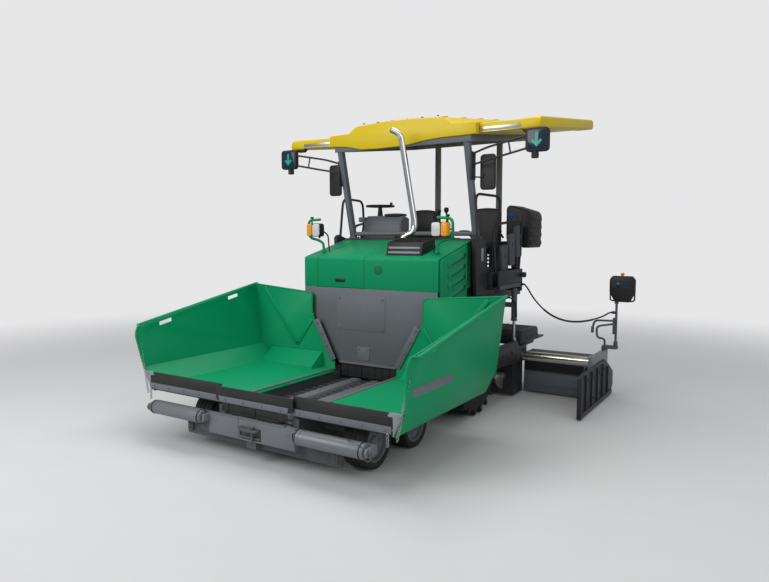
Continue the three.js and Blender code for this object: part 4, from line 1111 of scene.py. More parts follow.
@dataclass
class Hopper(SubAssembly):
    """Two folding wings, the rubber apron with its clamp strips, and the bulkhead behind them."""

    def build(self) -> None:
        """Builds wings, apron and bulkhead."""
        self._wings()
        self._trim()
        self._apron()
        self._bulkhead()

    def _wings(self) -> None:
        """Pressed sheet wings with a bead round their edges and a V-shaped press ridge at the rear."""
        wing = Shape.of_node("hopper_wing_left", 0.003)
        y_front = -1.925
        for vert in wing.bm.verts:
            if vert.co.y < -1.93:
                vert.co.y = -1.93 + (vert.co.y + 1.93) * 0.5
        nose = [
            (
                wing_side_x(1.075 + 0.122 * math.sin(a)) - 0.006, -1.93 - 0.065 * math.cos(a),
                1.075 + 0.122 * math.sin(a))
            for a in [i * 1.37 / 8 for i in range(8, -1, -1)]]
        top = [(1.787, -0.034, wing_top_z(-0.034)), (1.787, y_front, wing_top_z(y_front) - 0.004)]
        wing.sweep([Vector(p) for p in (*top, *nose, (wing_side_x(0.72) - 0.006, -1.932, 0.72))], 0.013, 14)
        wing.tube(
            [(1.775, -0.068, 1.542), (0.835, -0.068, 1.47), (0.804, -0.068, 1.445), (0.804, -0.068, 1.2)], 0.01,
            0.03, 10)
        for start, end in (
            ((1.6, -0.079, 1.5), (1.04, -0.079, 0.79)), ((1.052, -0.079, 0.786), (0.806, -0.079, 1.13))
        ):
            wing.bar(start, end, 0.052, 0.014, Vector((0.0, -1.0, 0.0)), 0.006)
        wing.tube([(1.46, -0.076, 0.742), (0.66, -0.076, 0.742)], 0.006, 0.02, 6)
        wing.tube([(1.445, -1.91, 0.571), (1.445, -0.32, 0.571)], 0.004, 0.02, 6)
        self.dress_pair(wing, "hopper_wing", GREEN, "wing_{}", ["hopper_wing_{}"], 40.0)

    def _trim(self) -> None:
        """Wear strips, the outer stripe and corner plates."""
        strip = Shape().bar(
            (0.735, -0.082, 1.135), (0.462, -0.082, 0.64), 0.082, 0.012, Vector((0.0, -1.0, 0.0)), 0.003)
        strip.bolts(
            [(0.735 - 0.273 * t, -0.088, 1.135 - 0.495 * t) for t in (0.08, 0.36, 0.64, 0.92)],
            (0.0, -1.0, 0.0), 0.015, 0.009)
        strip.bar((0.476, -1.905, 0.5335), (0.476, -0.09, 0.5335), 0.05, 0.01, Vector((0.0, 0.0, 1.0)), 0.003)
        strip.bolts([(0.476, -1.86 + 0.345 * i, 0.538) for i in range(6)], (0.0, 0.0, 1.0), 0.009, 0.005)
        self.dress_pair(strip, "wing_wear_strip", GREY, "wing_{}")
        stripe = Shape().bar(
            (1.6965, -1.86, 0.872), (1.6965, -1.13, 0.872), 0.082, 0.003, Vector((1.0, 0.0, -0.122)), 0.001)
        self.dress_pair(stripe, "wing_stripe", GREY, "wing_{}")
        plates = Shape().prism(
            ((1.435, 0.588), (1.556, 0.5), (1.652, 0.706), (1.52, 0.706)), Axis.Y, -1.9465, -1.9295, 0.004)
        plates.bolts([(1.55, -1.9465, 0.56), (1.6, -1.9465, 0.67)], (0.0, -1.0, 0.0), 0.01, 0.006)
        self.dress_pair(plates, "apron_corner_plate", LIGHT, "wing_{}")
        hinge = Shape()
        for y in (-1.856, -0.976):
            hinge.rod((0.43, y, 0.508), (0.43, y + 0.03, 0.508), 0.016, sides=20, edge=0.003)
        self.dress_pair(hinge, "wing_hinge_collar", UNDER, "wing_{}")

    def _apron(self) -> None:
        """Overlapping rubber sections under bolted clamp strips, with short chains at their ends."""
        side = Shape().prism(
            (
                (-1.9362, 0.512), (-1.9362, 0.64), (-1.9302, 0.702), (-1.94, 0.706), (-1.952, 0.64),
                (-1.952, 0.512)),
            Axis.X, 0.47, 1.552, 0.003)
        side.box((0.48, -1.946, 0.528), (1.5, -1.916, 0.54), 0.002)
        side.box((0.478, -1.9535, 0.512), (0.486, -1.95, 0.7), 0.001)
        self.dress_pair(side, "apron_rubber", RUBBER, "wing_{}", ["apron_flap_{}"])
        clamp = Shape().box((0.48, -1.963, 0.524), (1.545, -1.9515, 0.59), 0.004)
        clamp.bolts([(0.55 + 0.232 * i, -1.963, 0.557) for i in range(5)], (0.0, -1.0, 0.0), 0.013, 0.006)
        self.dress_pair(clamp, "apron_clamp", GREY, "wing_{}")
        middle = Shape().prism(
            ((-0.48, 0.545), (0.48, 0.545), (0.5, 0.57), (0.5, 0.69), (-0.5, 0.69), (-0.5, 0.57)), Axis.Y,
            -1.988, -1.974, 0.004)
        for x in (-0.36, 0.0, 0.36):
            middle.box((x - 0.03, -1.988, 0.447), (x + 0.03, -1.98, 0.56), 0.002)
        middle.box((-0.43, -1.983, 0.449), (0.43, -1.977, 0.56), 0.002)
        middle.box((-0.3, -1.98, 0.431), (0.3, -1.89, 0.4425), 0.002)
        middle.box((-0.05, -1.906, 0.4008), (0.05, -1.876, 0.4425), 0.002)
        self.dress(middle, "apron_rubber_middle", RUBBER, "tractor", ["apron_flap_middle"])
        clamp = Shape().prism(
            ((-0.44, 0.538), (0.44, 0.538), (0.455, 0.598), (-0.455, 0.598)), Axis.Y, -2.0, -1.9875, 0.004)
        clamp.bolts([(-0.36 + 0.24 * i, -2.0, 0.568) for i in range(4)], (0.0, -1.0, 0.0), 0.013, 0.008)
        self.dress(clamp, "apron_clamp_middle", GREY, "tractor")
        chain = Shape()
        for count, foot, step in (
            (6, (1.52, -1.974, 0.52), (0.0, 0.0, -0.019)), (28, (1.706, -1.95, 0.99), (-0.004, 0.0, -0.019))
        ):
            for i in range(count):
                place = Vector(foot) + Vector(step) * i
                link = [
                    (0.003 * math.sin(a), 0.0115 + 0.003 * math.cos(a))
                    for a in [k * math.tau / 8 for k in range(8)]]
                chain.lathe(link, Axis.X if i % 2 else Axis.Y, place, 16)
        self.dress_pair(chain, "apron_chain", STEEL, "wing_{}")

    def _bulkhead(self) -> None:
        """The grey wall over the tunnel with its inspection panels."""
        wall = Shape.of_node("bulkhead", 0.004)
        wall.box((-0.44, -0.0255, 1.03), (0.26, -0.0185, 1.46), 0.003)
        wall.bolts(
            [(x, -0.0255, z) for x in (-0.405, 0.225) for z in (1.065, 1.425)], (0.0, -1.0, 0.0), 0.013, 0.008)
        wall.box((-0.14, -0.0265, 0.66), (0.04, -0.0185, 0.83), 0.003)
        wall.bolts(
            [(x, -0.0265, z) for x in (-0.115, 0.015) for z in (0.685, 0.805)], (0.0, -1.0, 0.0), 0.01, 0.007)
        wall.box((-0.412, -0.03, 0.604), (0.412, -0.018, 0.628), 0.004)
        self.dress(wall, "bulkhead_wall", GREY, "tractor", ["bulkhead"])


@dataclass
class PushBeam(SubAssembly):
    """The swivelling beam across the front and its two rollers."""

    def build(self) -> None:
        """Builds the beam, its covers and hook, and the rollers."""
        beam = Shape.of_node("roller_beam", 0.006)
        for vert in beam.bm.verts:
            if abs(vert.co.x) < 0.09 and vert.co.y < -1.99 and 0.24 < vert.co.z < 0.35:
                vert.co.x += math.copysign(0.065, vert.co.x)
                vert.co.z += -0.02 if vert.co.z < 0.3 else 0.008
        for low, high, lift in ((-0.556, -0.15, 0.0), (-0.18, 0.12, 0.006), (0.1, 0.43, 0.002)):
            beam.box((low, -2.036, 0.418 + lift), (high, -1.997, 0.427 + lift), 0.003)
            beam.bolts(
                [(low + 0.04, -2.018, 0.427 + lift), (high - 0.04, -2.018, 0.427 + lift)], (0.0, 0.0, 1.0),
                0.011, 0.007)
        for x in (-0.48, 0.47):
            beam.rod((x, -2.029, 0.372), (x, -2.036, 0.372), 0.034, sides=32, edge=0.003)
        for sign in (-1.0, 1.0):
            beam.box(
                (min(sign * 0.15, sign * 0.556), -2.034, 0.222),
                (max(sign * 0.15, sign * 0.556), -2.0295, 0.416), 0.002)
            beam.rod((sign * 1.405, -2.06, 0.372), (sign * 1.42, -2.06, 0.372), 0.036, sides=32, edge=0.003)
            beam.rod((sign * 1.419, -2.06, 0.372), (sign * 1.434, -2.06, 0.372), 0.02, sides=6, edge=0.002)
            beam.rod((sign * 1.376, -2.085, 0.372), (sign * 1.402, -2.085, 0.372), 0.038, sides=32, edge=0.004)
        self.dress(beam, "push_beam", GREY, "push_beam", ["roller_beam"])
        tongue = [
            (-0.125, -2.008), (-0.125, -2.04), *arc((-0.075, -2.04), 0.05, 180.0, 250.0, 4),
            *arc((0.075, -2.04), 0.05, 290.0, 360.0, 4), (0.125, -2.008)]
        hook = Shape().prism(tongue, Axis.Z, 0.322, 0.344, 0.006, 3)
        hook.rod((0.045, -2.05, 0.228), (0.045, -2.05, 0.362), 0.013, sides=20, edge=0.002)
        hook.rod((0.045, -2.05, 0.35), (0.045, -2.05, 0.364), 0.022, sides=20, edge=0.003)
        hook.box((-0.134, -2.036, 0.24), (0.134, -2.012, 0.262), 0.004)
        hook.box((-0.138, -2.0075, 0.236), (0.138, -2.004, 0.345), 0.001)
        hook.tube(
            [(1.38, -2.098, 0.4), (1.3, -2.118, 0.452), (1.205, -2.112, 0.452), (1.18, -2.045, 0.446)], 0.004,
            0.03, 8)
        hook.prism(
            ((-0.7, 0.225), (-0.562, 0.215), (-0.562, 0.33), (-0.64, 0.345), (-0.7, 0.33)), Axis.Y, -2.02,
            -1.99, 0.004)
        hook.take(Shape().lathe([(0.004 * math.sin(k * math.tau / 8),
        0.036 + 0.004 * math.cos(k * math.tau / 8)) for k in range(8)], Axis.Y, (1.4, -2.1, 0.345), 28))
        self.dress(hook, "tow_hook", UNDER, "push_beam")
        roller = Shape().lathe(
            [(0.611, 0.0205), (0.606, 0.03), (0.608, 0.05), (0.616, 0.063), (0.628, 0.069), (0.64, 0.0695),
             (0.642, 0.074), (0.668, 0.074),
             (0.67, 0.07), (1.345, 0.07), (1.357, 0.064), (1.364, 0.05), (1.366, 0.03), (1.361, 0.0205),
             (1.325, 0.0205), (1.325, 0.0001),
             (0.647, 0.0001), (0.647, 0.0205)],
            Axis.X, (0.0, -2.06, 0.372), 48)
        self.dress_pair(roller, "roller_drum", ROLLER_PAINT, "push_roller_{}", ["push_roller_{}"])
        rings = Shape()
        for x in (0.628, 1.318):
            rings.lathe(
                [(x, 0.068), (x, 0.0735), (x + 0.012, 0.0735), (x + 0.012, 0.068)], Axis.X, (0.0, -2.06, 0.372),
                48)
        self.dress_pair(rings, "roller_ring", DARK_TRIM, "push_roller_{}")


# ---------------------------------------------------------------- hood


@dataclass
class Hood(SubAssembly):
    """Green engine hood with its flap, doors, vent, lamps and exhaust."""

    def build(self) -> None:
        """Builds everything in front of the operator's stand."""
        self._shell()
        self._vent()
        self._doors()
        self._lamps()
        self._exhaust()

    def _shell(self) -> None:
        """The shell and the engine flap with seams, latch and round vent."""
        shell = Shape.of_node("hood_shell", 0.006)
        self.dress(shell, "hood_skin", GREEN, "tractor", ["hood_shell"], 30.0)
        flap = Shape.of_node("hood_flap", 0.004)
        self.dress(flap, "engine_flap_skin", GREEN, "engine_flap", ["hood_flap"], 30.0)
        seams = Shape()
        for x in (-0.75, -0.045):
            seams.box((x - 0.0035, -0.0187, 1.545), (x + 0.0035, -0.01, 1.897), 0.0003, 1)
            seams.bar((x, -0.0185, 1.895), (x, -0.0045, 1.9195), 0.007, 0.0012, Vector((0.0, -0.87, 0.5)), 0.0)
            seams.bar((x, -0.0045, 1.9192), (x, 0.04, 1.9302), 0.007, 0.0012, Vector((0.0, -0.24, 0.97)), 0.0)
            seams.bar((x, 0.04, 1.9302), (x, 0.054, 1.9336), 0.007, 0.0012, Vector((0.0, -0.24, 0.97)), 0.0)
        seams.box((-0.747, -0.0188, 1.5452), (-0.048, -0.01, 1.5502), 0.0003, 1)
        seams.box((-0.478, -0.0215, 1.611), (-0.323, -0.012, 1.658), 0.006)
        seams.box((0.905, -0.0187, 1.545), (0.909, -0.01, 1.9), 0.0003, 1)
        self.dress(seams, "hood_seams", BLACK, "tractor")
        latch = Shape().box((-0.465, -0.0245, 1.622), (-0.336, -0.019, 1.647), 0.003)
        latch.rod((0.161, -0.0178, 1.774), (0.161, -0.0215, 1.774), 0.052, sides=40, edge=0.002)
        self.dress(latch, "hood_latch", DARK_TRIM, "tractor")
        slots = Shape()
        for i in range(6):
            z = 1.774 + (i - 2.5) * 0.0145
            half = math.sqrt(0.044**2 - (z - 1.774) ** 2)
            slots.box((0.161 - half, -0.0245, z - 0.0042), (0.161 + half, -0.021, z + 0.0042), 0.001)
        self.dress(slots, "round_vent_slats", GREEN, "tractor")

    def _vent(self) -> None:
        """The dark air box with ribs on top, and two pale bars across its sloping front as painted highlights
        on the top edges of its rounded steps.
        """
        box = Shape().prism(
            ((0.116, 1.944), (0.146, 2.092), (0.17, 2.106), (0.425, 2.154), (0.436, 2.15), (0.475, 2.022)),
            Axis.X, 0.186, 0.674, 0.008)
        for i in range(17):
            x = 0.205 + i * 0.0269
            box.bar((x, 0.172, 2.1075), (x, 0.424, 2.1555), 0.01, 0.012, Vector((0.0, -0.187, 0.982)), 0.002)
        box.box((0.176, 0.11, 1.94), (0.684, 0.13, 1.956), 0.003)
        self.dress(box, "air_box", BLACK, "tractor")
        # Painted highlights: pale grey bars stand in for the light that the air box's rounded steps catch on
        # their top edges.
        slats = Shape()
        for z in (1.985, 2.04):
            y = 0.116 + (z - 1.944) * 0.2027
            slats.bar(
                (0.214, y - 0.003, z), (0.646, y - 0.003, z), 0.026, 0.01, Vector((0.0, -0.98, 0.2)), 0.003)
        self.dress(slats, "air_box_slats", LIGHT, "tractor")

    def _doors(self) -> None:
        """Side doors with slanted pill-shaped louvres, and black sheets on the louvres' rear ends as painted
        shade of the deep recesses.
        """
        door = Shape.of_node("side_door_left", 0.005)
        for i in range(4):
            z = 1.552 + i * 0.126
            pill = [
                *arc((0.6, z + 0.02), 0.04, -76.0, 104.0, 8), *arc((0.21, z - 0.075), 0.04, 104.0, 284.0, 8)]
            door.prism(pill, Axis.X, 0.984, 1.0, 0.008, 3)
        door.box((0.986, 0.64, 1.62), (0.998, 0.668, 1.76), 0.004)
        self.dress_pair(door, "engine_door", GREEN, "side_door_{}", ["side_door_{}"])
        # Painted shade: flat black sheets lie on each louvre's rear end and stand in for the deep shadow inside
        # the recess.
        dark = Shape()
        for i in range(4):
            z = 1.552 + i * 0.126
            mouth = [
                *arc((0.602, z + 0.02), 0.03, -76.0, 104.0, 6), (0.56, z + 0.035), (0.575, z + 0.002),
                (0.4, z - 0.046), (0.235, z - 0.084), (0.23, z - 0.1)]
            dark.prism(mouth, Axis.X, 0.99, 1.0015, 0.001, 1)
        self.dress_pair(dark, "door_louvre_mouth", BLACK, "side_door_{}")

    def _lamps(self) -> None:
        """Work lamps with a clear lens inboard and an amber one outboard, inside a bent tube guard."""
        guard = Shape().tube(
            [(0.83, 0.21, 1.985), (0.83, 0.21, 2.085), (0.9, 0.2, 2.125), (1.046, 0.18, 2.16),
             (1.046, 0.17, 2.382), (0.85, 0.17, 2.392)], 0.017, 0.07, 16)
        guard.rod((0.83, 0.21, hood_top_z(0.21) + 0.012), (0.83, 0.21, 2.0), 0.034, sides=28, edge=0.004)
        guard.rod((0.99, 0.165, 2.257), (1.04, 0.168, 2.257), 0.01, sides=14)
        self.dress_pair(guard, "lamp_guard", GREEN, "tractor", ["headlight_{}"])
        case = Shape().prism(
            softened_rectangle((0.806, 2.172), (1.008, 2.342), 0.03), Axis.Y, 0.104, 0.196, 0.008, 3)
        case.prism(softened_rectangle((0.826, 2.192), (0.93, 2.322), 0.03), Axis.Y, 0.19, 0.228, 0.014, 3)
        case.tube(
            [(0.812, 0.2, 2.235), (0.776, 0.235, 2.19), (0.768, 0.25, hood_top_z(0.25) + 0.004)], 0.009, 0.03,
            12)
        case.rod((0.985, 0.17, 2.34), (0.985, 0.17, 2.412), 0.008, sides=14)
        case.lathe(
            [(-0.014, 0.0001), (-0.012, 0.018), (0.0, 0.024), (0.012, 0.018), (0.014, 0.0001)], Axis.Z,
            (0.985, 0.17, 2.414), 20)
        case.rod((0.85, 0.15, 2.15), (0.85, 0.15, 2.176), 0.014, sides=16, edge=0.002)
        self.dress_pair(case, "lamp_case", BLACK, "tractor")
        lens = Shape().prism(
            softened_rectangle((0.813, 2.18), (0.922, 2.334), 0.026), Axis.Y, 0.09, 0.106, 0.006, 3)
        for x in (0.84, 0.867, 0.894):
            lens.box((x - 0.003, 0.0875, 2.2), (x + 0.003, 0.092, 2.314), 0.001)
        lens.box((0.826, 0.0875, 2.254), (0.91, 0.092, 2.259), 0.001)
        self.dress_pair(lens, "lamp_lens", LENS, "tractor")
        amber = Shape().prism(
            softened_rectangle((0.934, 2.178), (1.014, 2.336), 0.026), Axis.Y, 0.088, 0.186, 0.01, 3)
        for i in range(7):
            amber.box((0.944, 0.0855, 2.196 + i * 0.02), (1.004, 0.09, 2.203 + i * 0.02), 0.001)
        self.dress_pair(amber, "beacon_lens", AMBER, "tractor")

    def _exhaust(self) -> None:
        """A polished pipe that rises from a clamped elbow and leans to a mouth that faces forward."""
        path = [
            (0.19, 0.5, 2.135), (0.2, 0.505, 2.165), (0.318, 0.548, 2.222), (0.33, 0.56, 2.33),
            (0.196, 0.45, 3.39), (0.16, 0.42, 3.44), (0.098, 0.366, 3.476)]
        pipe = Shape().tube(path, 0.038, 0.07, 32, 8)
        for t in (0.35, 0.55):
            foot_ring = Vector(path[1]).lerp(Vector(path[2]), t)
            out = (Vector(path[2]) - Vector(path[1])).normalized()
            pipe.rod(foot_ring - out * 0.011, foot_ring + out * 0.011, 0.045, sides=32, edge=0.004)
        pipe.bolts([(0.24, 0.47, 2.16)], (-0.3, -1.0, 0.2), 0.01, 0.02)
        self.dress(pipe, "exhaust", CHROME, "tractor", ["exhaust_pipe"], 40.0)
        foot = Shape().prism(
            (
                (0.5, hood_top_z(0.5) + 0.001), (0.5, 2.15), (0.52, 2.165), (0.58, 2.165), (0.6, 2.15),
                (0.6, hood_top_z(0.6) + 0.001)),
            Axis.X, 0.24, 0.37, 0.006)
        foot.rod((0.188, 0.5, 2.12), (0.192, 0.501, 2.15), 0.056, sides=36, edge=0.003)
        tip = Vector(path[-1])
        out = (tip - Vector(path[-2])).normalized()
        foot.rod(tip - out * 0.004, tip + out * 0.0012, 0.0345, sides=32)
        self.dress(foot, "exhaust_foot", BLACK, "tractor")


# ---------------------------------------------------------------- operator's stand


def cushion(low: Point, high: Point, crown: float, roundness: float = 0.3, cuts: int = 9) -> Shape:
    """A stuffed block: its corners drawn in and its faces crowned.

    Args:
        low: its lowest corner.
        high: its highest corner.
        crown: how far the large faces bulge.
        roundness: 0 for a box, 1 for a ball.
        cuts: divisions of each face.

    Returns:
        The shape.
    """
    made = Shape()
    bm = made.bm
    bmesh.ops.create_cube(bm, size=2.0)
    bmesh.ops.subdivide_edges(bm, edges=bm.edges[:], cuts=cuts, use_grid_fill=True)
    start, end = Vector(low), Vector(high)
    half, middle = (end - start) / 2, (start + end) / 2
    for vert in bm.verts:
        x, y, z = vert.co
        ball = Vector((
            x * math.sqrt(1 - y * y / 2 - z * z / 2 + y * y * z * z / 3),
            y * math.sqrt(1 - z * z / 2 - x * x / 2 + z * z * x * x / 3),
            z * math.sqrt(1 - x * x / 2 - y * y / 2 + x * x * y * y / 3),
        ))
        place = vert.co.lerp(ball, roundness)
        thin = min(range(3), key=lambda i: half[i])
        others = [place[i] for i in range(3) if i != thin]
        swell = (1 - others[0] ** 2) * (1 - others[1] ** 2)
        place = Vector([place[i] * (half[i] - (crown if i == thin else 0.0)) for i in range(3)])
        place[thin] += math.copysign(
            crown * swell, vert.co[thin]) if abs(vert.co[thin]) > 0.99 else crown * swell * vert.co[thin]
        vert.co = place + middle
    return made


@dataclass
class OperatorStand(SubAssembly):
    """The deck with its cabinet, side panels, console, steering wheel, seats and locker."""

    def build(self) -> None:
        """Builds everything between the hood and the screed, under the roof."""
        self._deck()
        self._side_panels()
        self._console()
        self._wheel()
        self._seat(Side.RIGHT, -0.36, 1.85)
        self._seat(Side.LEFT, 0.69, 1.75)
        self._locker()

    def _deck(self) -> None:
        """The deck plate with its tread ribs and the cabinet across the front."""
        deck = Shape.of_node("platform_deck", 0.008)
        for vert in deck.bm.verts:
            if vert.co.y > 2.0:
                vert.co.x *= 0.8
        rib = Shape().box((-0.8, 1.14, 1.44), (0.8, 1.152, 1.4425), 0.001, 1)
        deck.along([(0.0, i * 0.05, 0.0) for i in range(34)], rib)
        for x in (-0.48, 0.0, 0.48):
            deck.box((x - 0.225, 0.872, 2.149), (x + 0.225, 1.08, 2.158), 0.004)
        for x in (-0.955, 0.955):
            deck.box((x - 0.006, 0.885, 1.5), (x + 0.006, 1.08, 2.1), 0.004)
        deck.box((-1.085, 0.862, 1.34), (1.085, 0.872, 1.42), 0.003)
        self.dress(deck, "stand_deck", DARK, "tractor", ["platform_deck"])

    def _side_panels(self) -> None:
        """Bent panels with rail loops, a foot box, folded covers, a horn and the cable's gland."""
        panel = Shape().prism(
            ((0.745, 2.16), (0.8, 2.2), (1.08, 2.12), (1.09, 1.8), (1.35, 1.76), (1.35, 1.4404), (0.8, 1.4404)),
            Axis.X, 1.01, 1.07, 0.012, 3)
        panel.box((1.06, 1.12, 1.5), (1.23, 1.94, 1.53), 0.005)
        panel.box((1.2, 1.12, 1.5), (1.23, 1.94, 1.74), 0.008)
        panel.box((1.01, 1.9, 1.4404), (1.23, 1.94, 1.74), 0.006)
        panel.box((1.13, 1.48, 1.7), (1.19, 1.64, 1.716), 0.003)
        panel.box((1.13, 1.78, 1.76), (1.2, 1.92, 1.776), 0.003)
        panel.box((1.16, 1.64, 1.69), (1.216, 1.73, 1.716), 0.003)
        panel.box((1.068, 1.12, 1.52), (1.12, 1.34, 1.725), 0.008)
        panel.bolts(
            [
                (1.07, y, z) for y,
                z in ((0.83, 2.12), (0.83, 1.5), (1.05, 1.5), (1.3, 1.5), (1.3, 1.7), (1.05, 2.06))],
            (1.0, 0.0, 0.0), 0.012, 0.008)
        panel.lathe(
            [
                (1.2285, 0.0001), (1.2285, 0.026), (1.246, 0.026), (1.25, 0.034), (1.285, 0.037),
                (1.302, 0.034), (1.306, 0.022), (1.306, 0.0001)],
            Axis.X, (0.0, 1.86, 1.662), 32)
        panel.box((0.984, 1.352, 1.4404), (1.008, 1.985, 2.11), 0.008)
        self.dress_pair(panel, "stand_side_panel", DARK, "tractor", ["side_panel_{}"])
        rails = Shape().tube(
            [
                (1.04, 0.86, 2.15), (1.0, 0.88, 2.7), (1.08, 1.48, 2.69), (1.06, 1.48, 2.3), (1.04, 1.33, 2.05),
                (1.04, 1.33, 1.73)],
            0.017, 0.12, 16)
        rails.tube(
            [(1.13, 1.26, 1.51), (1.08, 1.26, 2.32), (1.235, 1.88, 2.4), (1.175, 1.9, 1.51)], 0.017, 0.12, 16)
        for x, y, z in ((1.04, 0.86, 2.165), (1.13, 1.26, 1.53), (1.175, 1.9, 1.53)):
            rails.rod((x, y, z - 0.02), (x, y, z), 0.026, sides=24, edge=0.003)
        self.dress_pair(rails, "grab_rails", DARK, "tractor")
        covers = Shape()
        for y, z, x in ((1.36, 1.64, 1.168), (1.56, 1.79, 1.192), (1.745, 1.9, 1.214)):
            outline = [
                (y + 0.03, z), *arc((y + 0.17, z + 0.03), 0.03, 270.0, 360.0, 4),
                *arc((y + 0.16, z + 0.39), 0.04, 0.0, 90.0, 5), *arc((y + 0.05, z + 0.37), 0.05, 90.0, 180.0, 5)
            ]
            covers.prism(outline, Axis.X, x - 0.052, x, 0.014, 3)
            covers.rod(
                (x - 0.002, y + 0.1, z + 0.28), (x + 0.01, y + 0.1, z + 0.28), 0.026, sides=28, edge=0.004)
            covers.box((x + 0.004, y + 0.08, z + 0.275), (x + 0.015, y + 0.12, z + 0.285), 0.002)
        covers.box((1.2305, 1.14, 1.505), (1.2365, 1.92, 1.552), 0.002)
        self.dress_pair(covers, "folded_covers", UNDER, "tractor")
        sign = Shape().box((1.0695, 0.915, 1.87), (1.0745, 0.985, 2.03), 0.002)
        self.dress_pair(sign, "blank_plate", LIGHT, "tractor")
        gland = Shape().rod((1.2295, 1.9, 1.53), (1.2392, 1.9, 1.53), 0.026, sides=6, edge=0.002)
        gland.rod((1.238, 1.9, 1.53), (1.2501, 1.9, 1.53), 0.018, sides=24, edge=0.002)
        self.dress_pair(gland, "cable_gland", BLACK, "tractor")

    def _console(self) -> None:
        """The steering console with its panel, switches, levers and pad."""
        console = Shape().prism(
            ((1.24, 1.4404), (1.24, 2.38), (1.33, 2.47), (1.48, 2.43), (1.48, 2.3), (1.42, 1.4404)), Axis.X,
            -0.9, -0.28, 0.018, 3)
        console.box((-1.0, 1.25, 2.38), (-0.89, 1.4, 2.45), 0.012)
        console.box((-0.88, 1.2345, 1.52), (-0.3, 1.243, 2.34), 0.006)
        self.dress(console, "steering_console", GREY, "tractor", ["operator_console"])
        trim = Shape().lathe(
            [(2.44, 0.0001), (2.44, 0.05), (2.47, 0.04), (2.56, 0.03), (2.59, 0.028), (2.59, 0.0001)], Axis.Z,
            (-0.735, 1.42, 0.0), 28)
        trim.take(cushion((-0.59, 1.28, 2.45), (-0.3, 1.46, 2.5), 0.008, 0.25, 5))
        for i in range(6):
            trim.rod(
                (-0.56 + i * 0.045, 1.315, 2.466), (-0.56 + i * 0.045, 1.312, 2.484), 0.009, sides=14,
                edge=0.002)
        for x, y, z in ((0.25, 1.35, 2.48), (0.33, 1.42, 2.5)):
            trim.tube([(0.28, 1.43, 2.2), (x, y + 0.03, z - 0.1), (x, y, z)], 0.012, 0.05, 10)
            trim.lathe(
                [
                    (z - 0.01, 0.0001), (z - 0.006, 0.02), (z + 0.03, 0.036), (z + 0.06, 0.03),
                    (z + 0.07, 0.0001)],
                Axis.Z, (x, y, 0.0), 20)
        trim.prism(
            ((1.38, 1.4404), (1.38, 2.18), (1.44, 2.235), (1.56, 2.235), (1.6, 2.12), (1.6, 1.4404)), Axis.X,
            0.2, 0.38, 0.02, 3)
        trim.box((-0.23, 0.98, 2.15), (-0.02, 1.08, 2.205), 0.014)
        self.dress(trim, "console_trim", BLACK, "tractor")

    def _wheel(self) -> None:
        """The steering wheel with three spokes and a spinner knob."""
        centre = (-0.735, 1.42, 2.6084)
        rim = [
            (0.015 * math.sin(k * math.tau / 14), 0.195 + 0.015 * math.cos(k * math.tau / 14))
            for k in range(14)]
        wheel = Shape().lathe(rim, Axis.Z, centre, 56)
        wheel.lathe(
            [(-0.018, 0.0001), (-0.018, 0.04), (0.004, 0.044), (0.014, 0.034), (0.018, 0.0001)], Axis.Z, centre,
            32)
        for turn in (0.3, 2.4, 4.5):
            end = Vector(centre) + Vector((math.cos(turn), math.sin(turn), 0.0)) * 0.186
            wheel.bar(centre, end, 0.03, 0.01, Vector((0.0, 0.0, 1.0)), 0.003)
        knob = (centre[0] + 0.15, centre[1] + 0.06, centre[2])
        wheel.lathe(
            [(0.006, 0.0001), (0.006, 0.01), (0.018, 0.012), (0.03, 0.022), (0.048, 0.02), (0.056, 0.0001)],
            Axis.Z, knob, 24)
        self.dress(wheel, "steering_wheel_rim", BLACK, "steering_wheel", ["steering_wheel"])

    def _seat(self, side: Side, x: float, y: float) -> None:
        """A sprung seat: a bellows foot, a stuffed cushion and back with piping, and arm rests."""
        foot = Shape().box((x - 0.11, y - 0.12, 1.4404), (x + 0.11, y + 0.12, 1.475), 0.006)
        for i in range(9):
            z = 1.475 + i * 0.051
            foot.prism(
                softened_rectangle((x - 0.095, y - 0.105), (x + 0.095, y + 0.105), 0.03), Axis.Z, z, z + 0.03,
                0.01)
            foot.prism(
                softened_rectangle((x - 0.078, y - 0.088), (x + 0.078, y + 0.088), 0.03), Axis.Z, z + 0.028,
                z + 0.054, 0.002)
        foot.box((x - 0.225, y - 0.22, 1.935), (x + 0.225, y + 0.2, 1.965), 0.01)
        foot.prism(
            ((y + 0.205, 1.96), (y + 0.262, 2.52), (y + 0.28, 2.52), (y + 0.255, 1.96)), Axis.X, x - 0.19,
            x + 0.19, 0.006)
        for sign in (-1.0, 1.0):
            foot.tube(
                [
                    (x + sign * 0.238, y + 0.225, 2.16), (x + sign * 0.238, y + 0.13, 2.215),
                    (x + sign * 0.238, y - 0.1, 2.215)],
                0.014, 0.04, 12)
        self.dress(foot, f"seat_base_{side.word}", BLACK, "tractor")
        pad = cushion((x - 0.23, y - 0.24, 1.958), (x + 0.23, y + 0.18, 2.072), 0.014)
        pad.sweep([Vector(p) for p in self._loop(x, y - 0.03, 2.018, 0.221, 0.201, Axis.Z)], 0.0045, 8)
        seat = self.dress(pad, f"seat_cushion_{side.word}", VINYL, "tractor", [f"seat_{side.word}"], 60.0)
        back = cushion((x - 0.215, y + 0.135, 2.03), (x + 0.215, y + 0.225, 2.57), 0.014)
        back.turned(-4.5, Axis.X, (x, y + 0.18, 2.3))
        rest = self.dress(back, f"seat_back_{side.word}", VINYL, "tractor", (), 60.0)
        for sign in (-1.0, 1.0):
            arm = cushion(
                (x + sign * 0.238 - 0.028, y - 0.13, 2.222), (x + sign * 0.238 + 0.028, y + 0.12, 2.262), 0.004,
                0.25, 4)
            self.dress(
                    arm, f"arm_pad_{side.word}_{'in' if sign < 0 else 'out'}", VINYL, "tractor", (), 60.0)

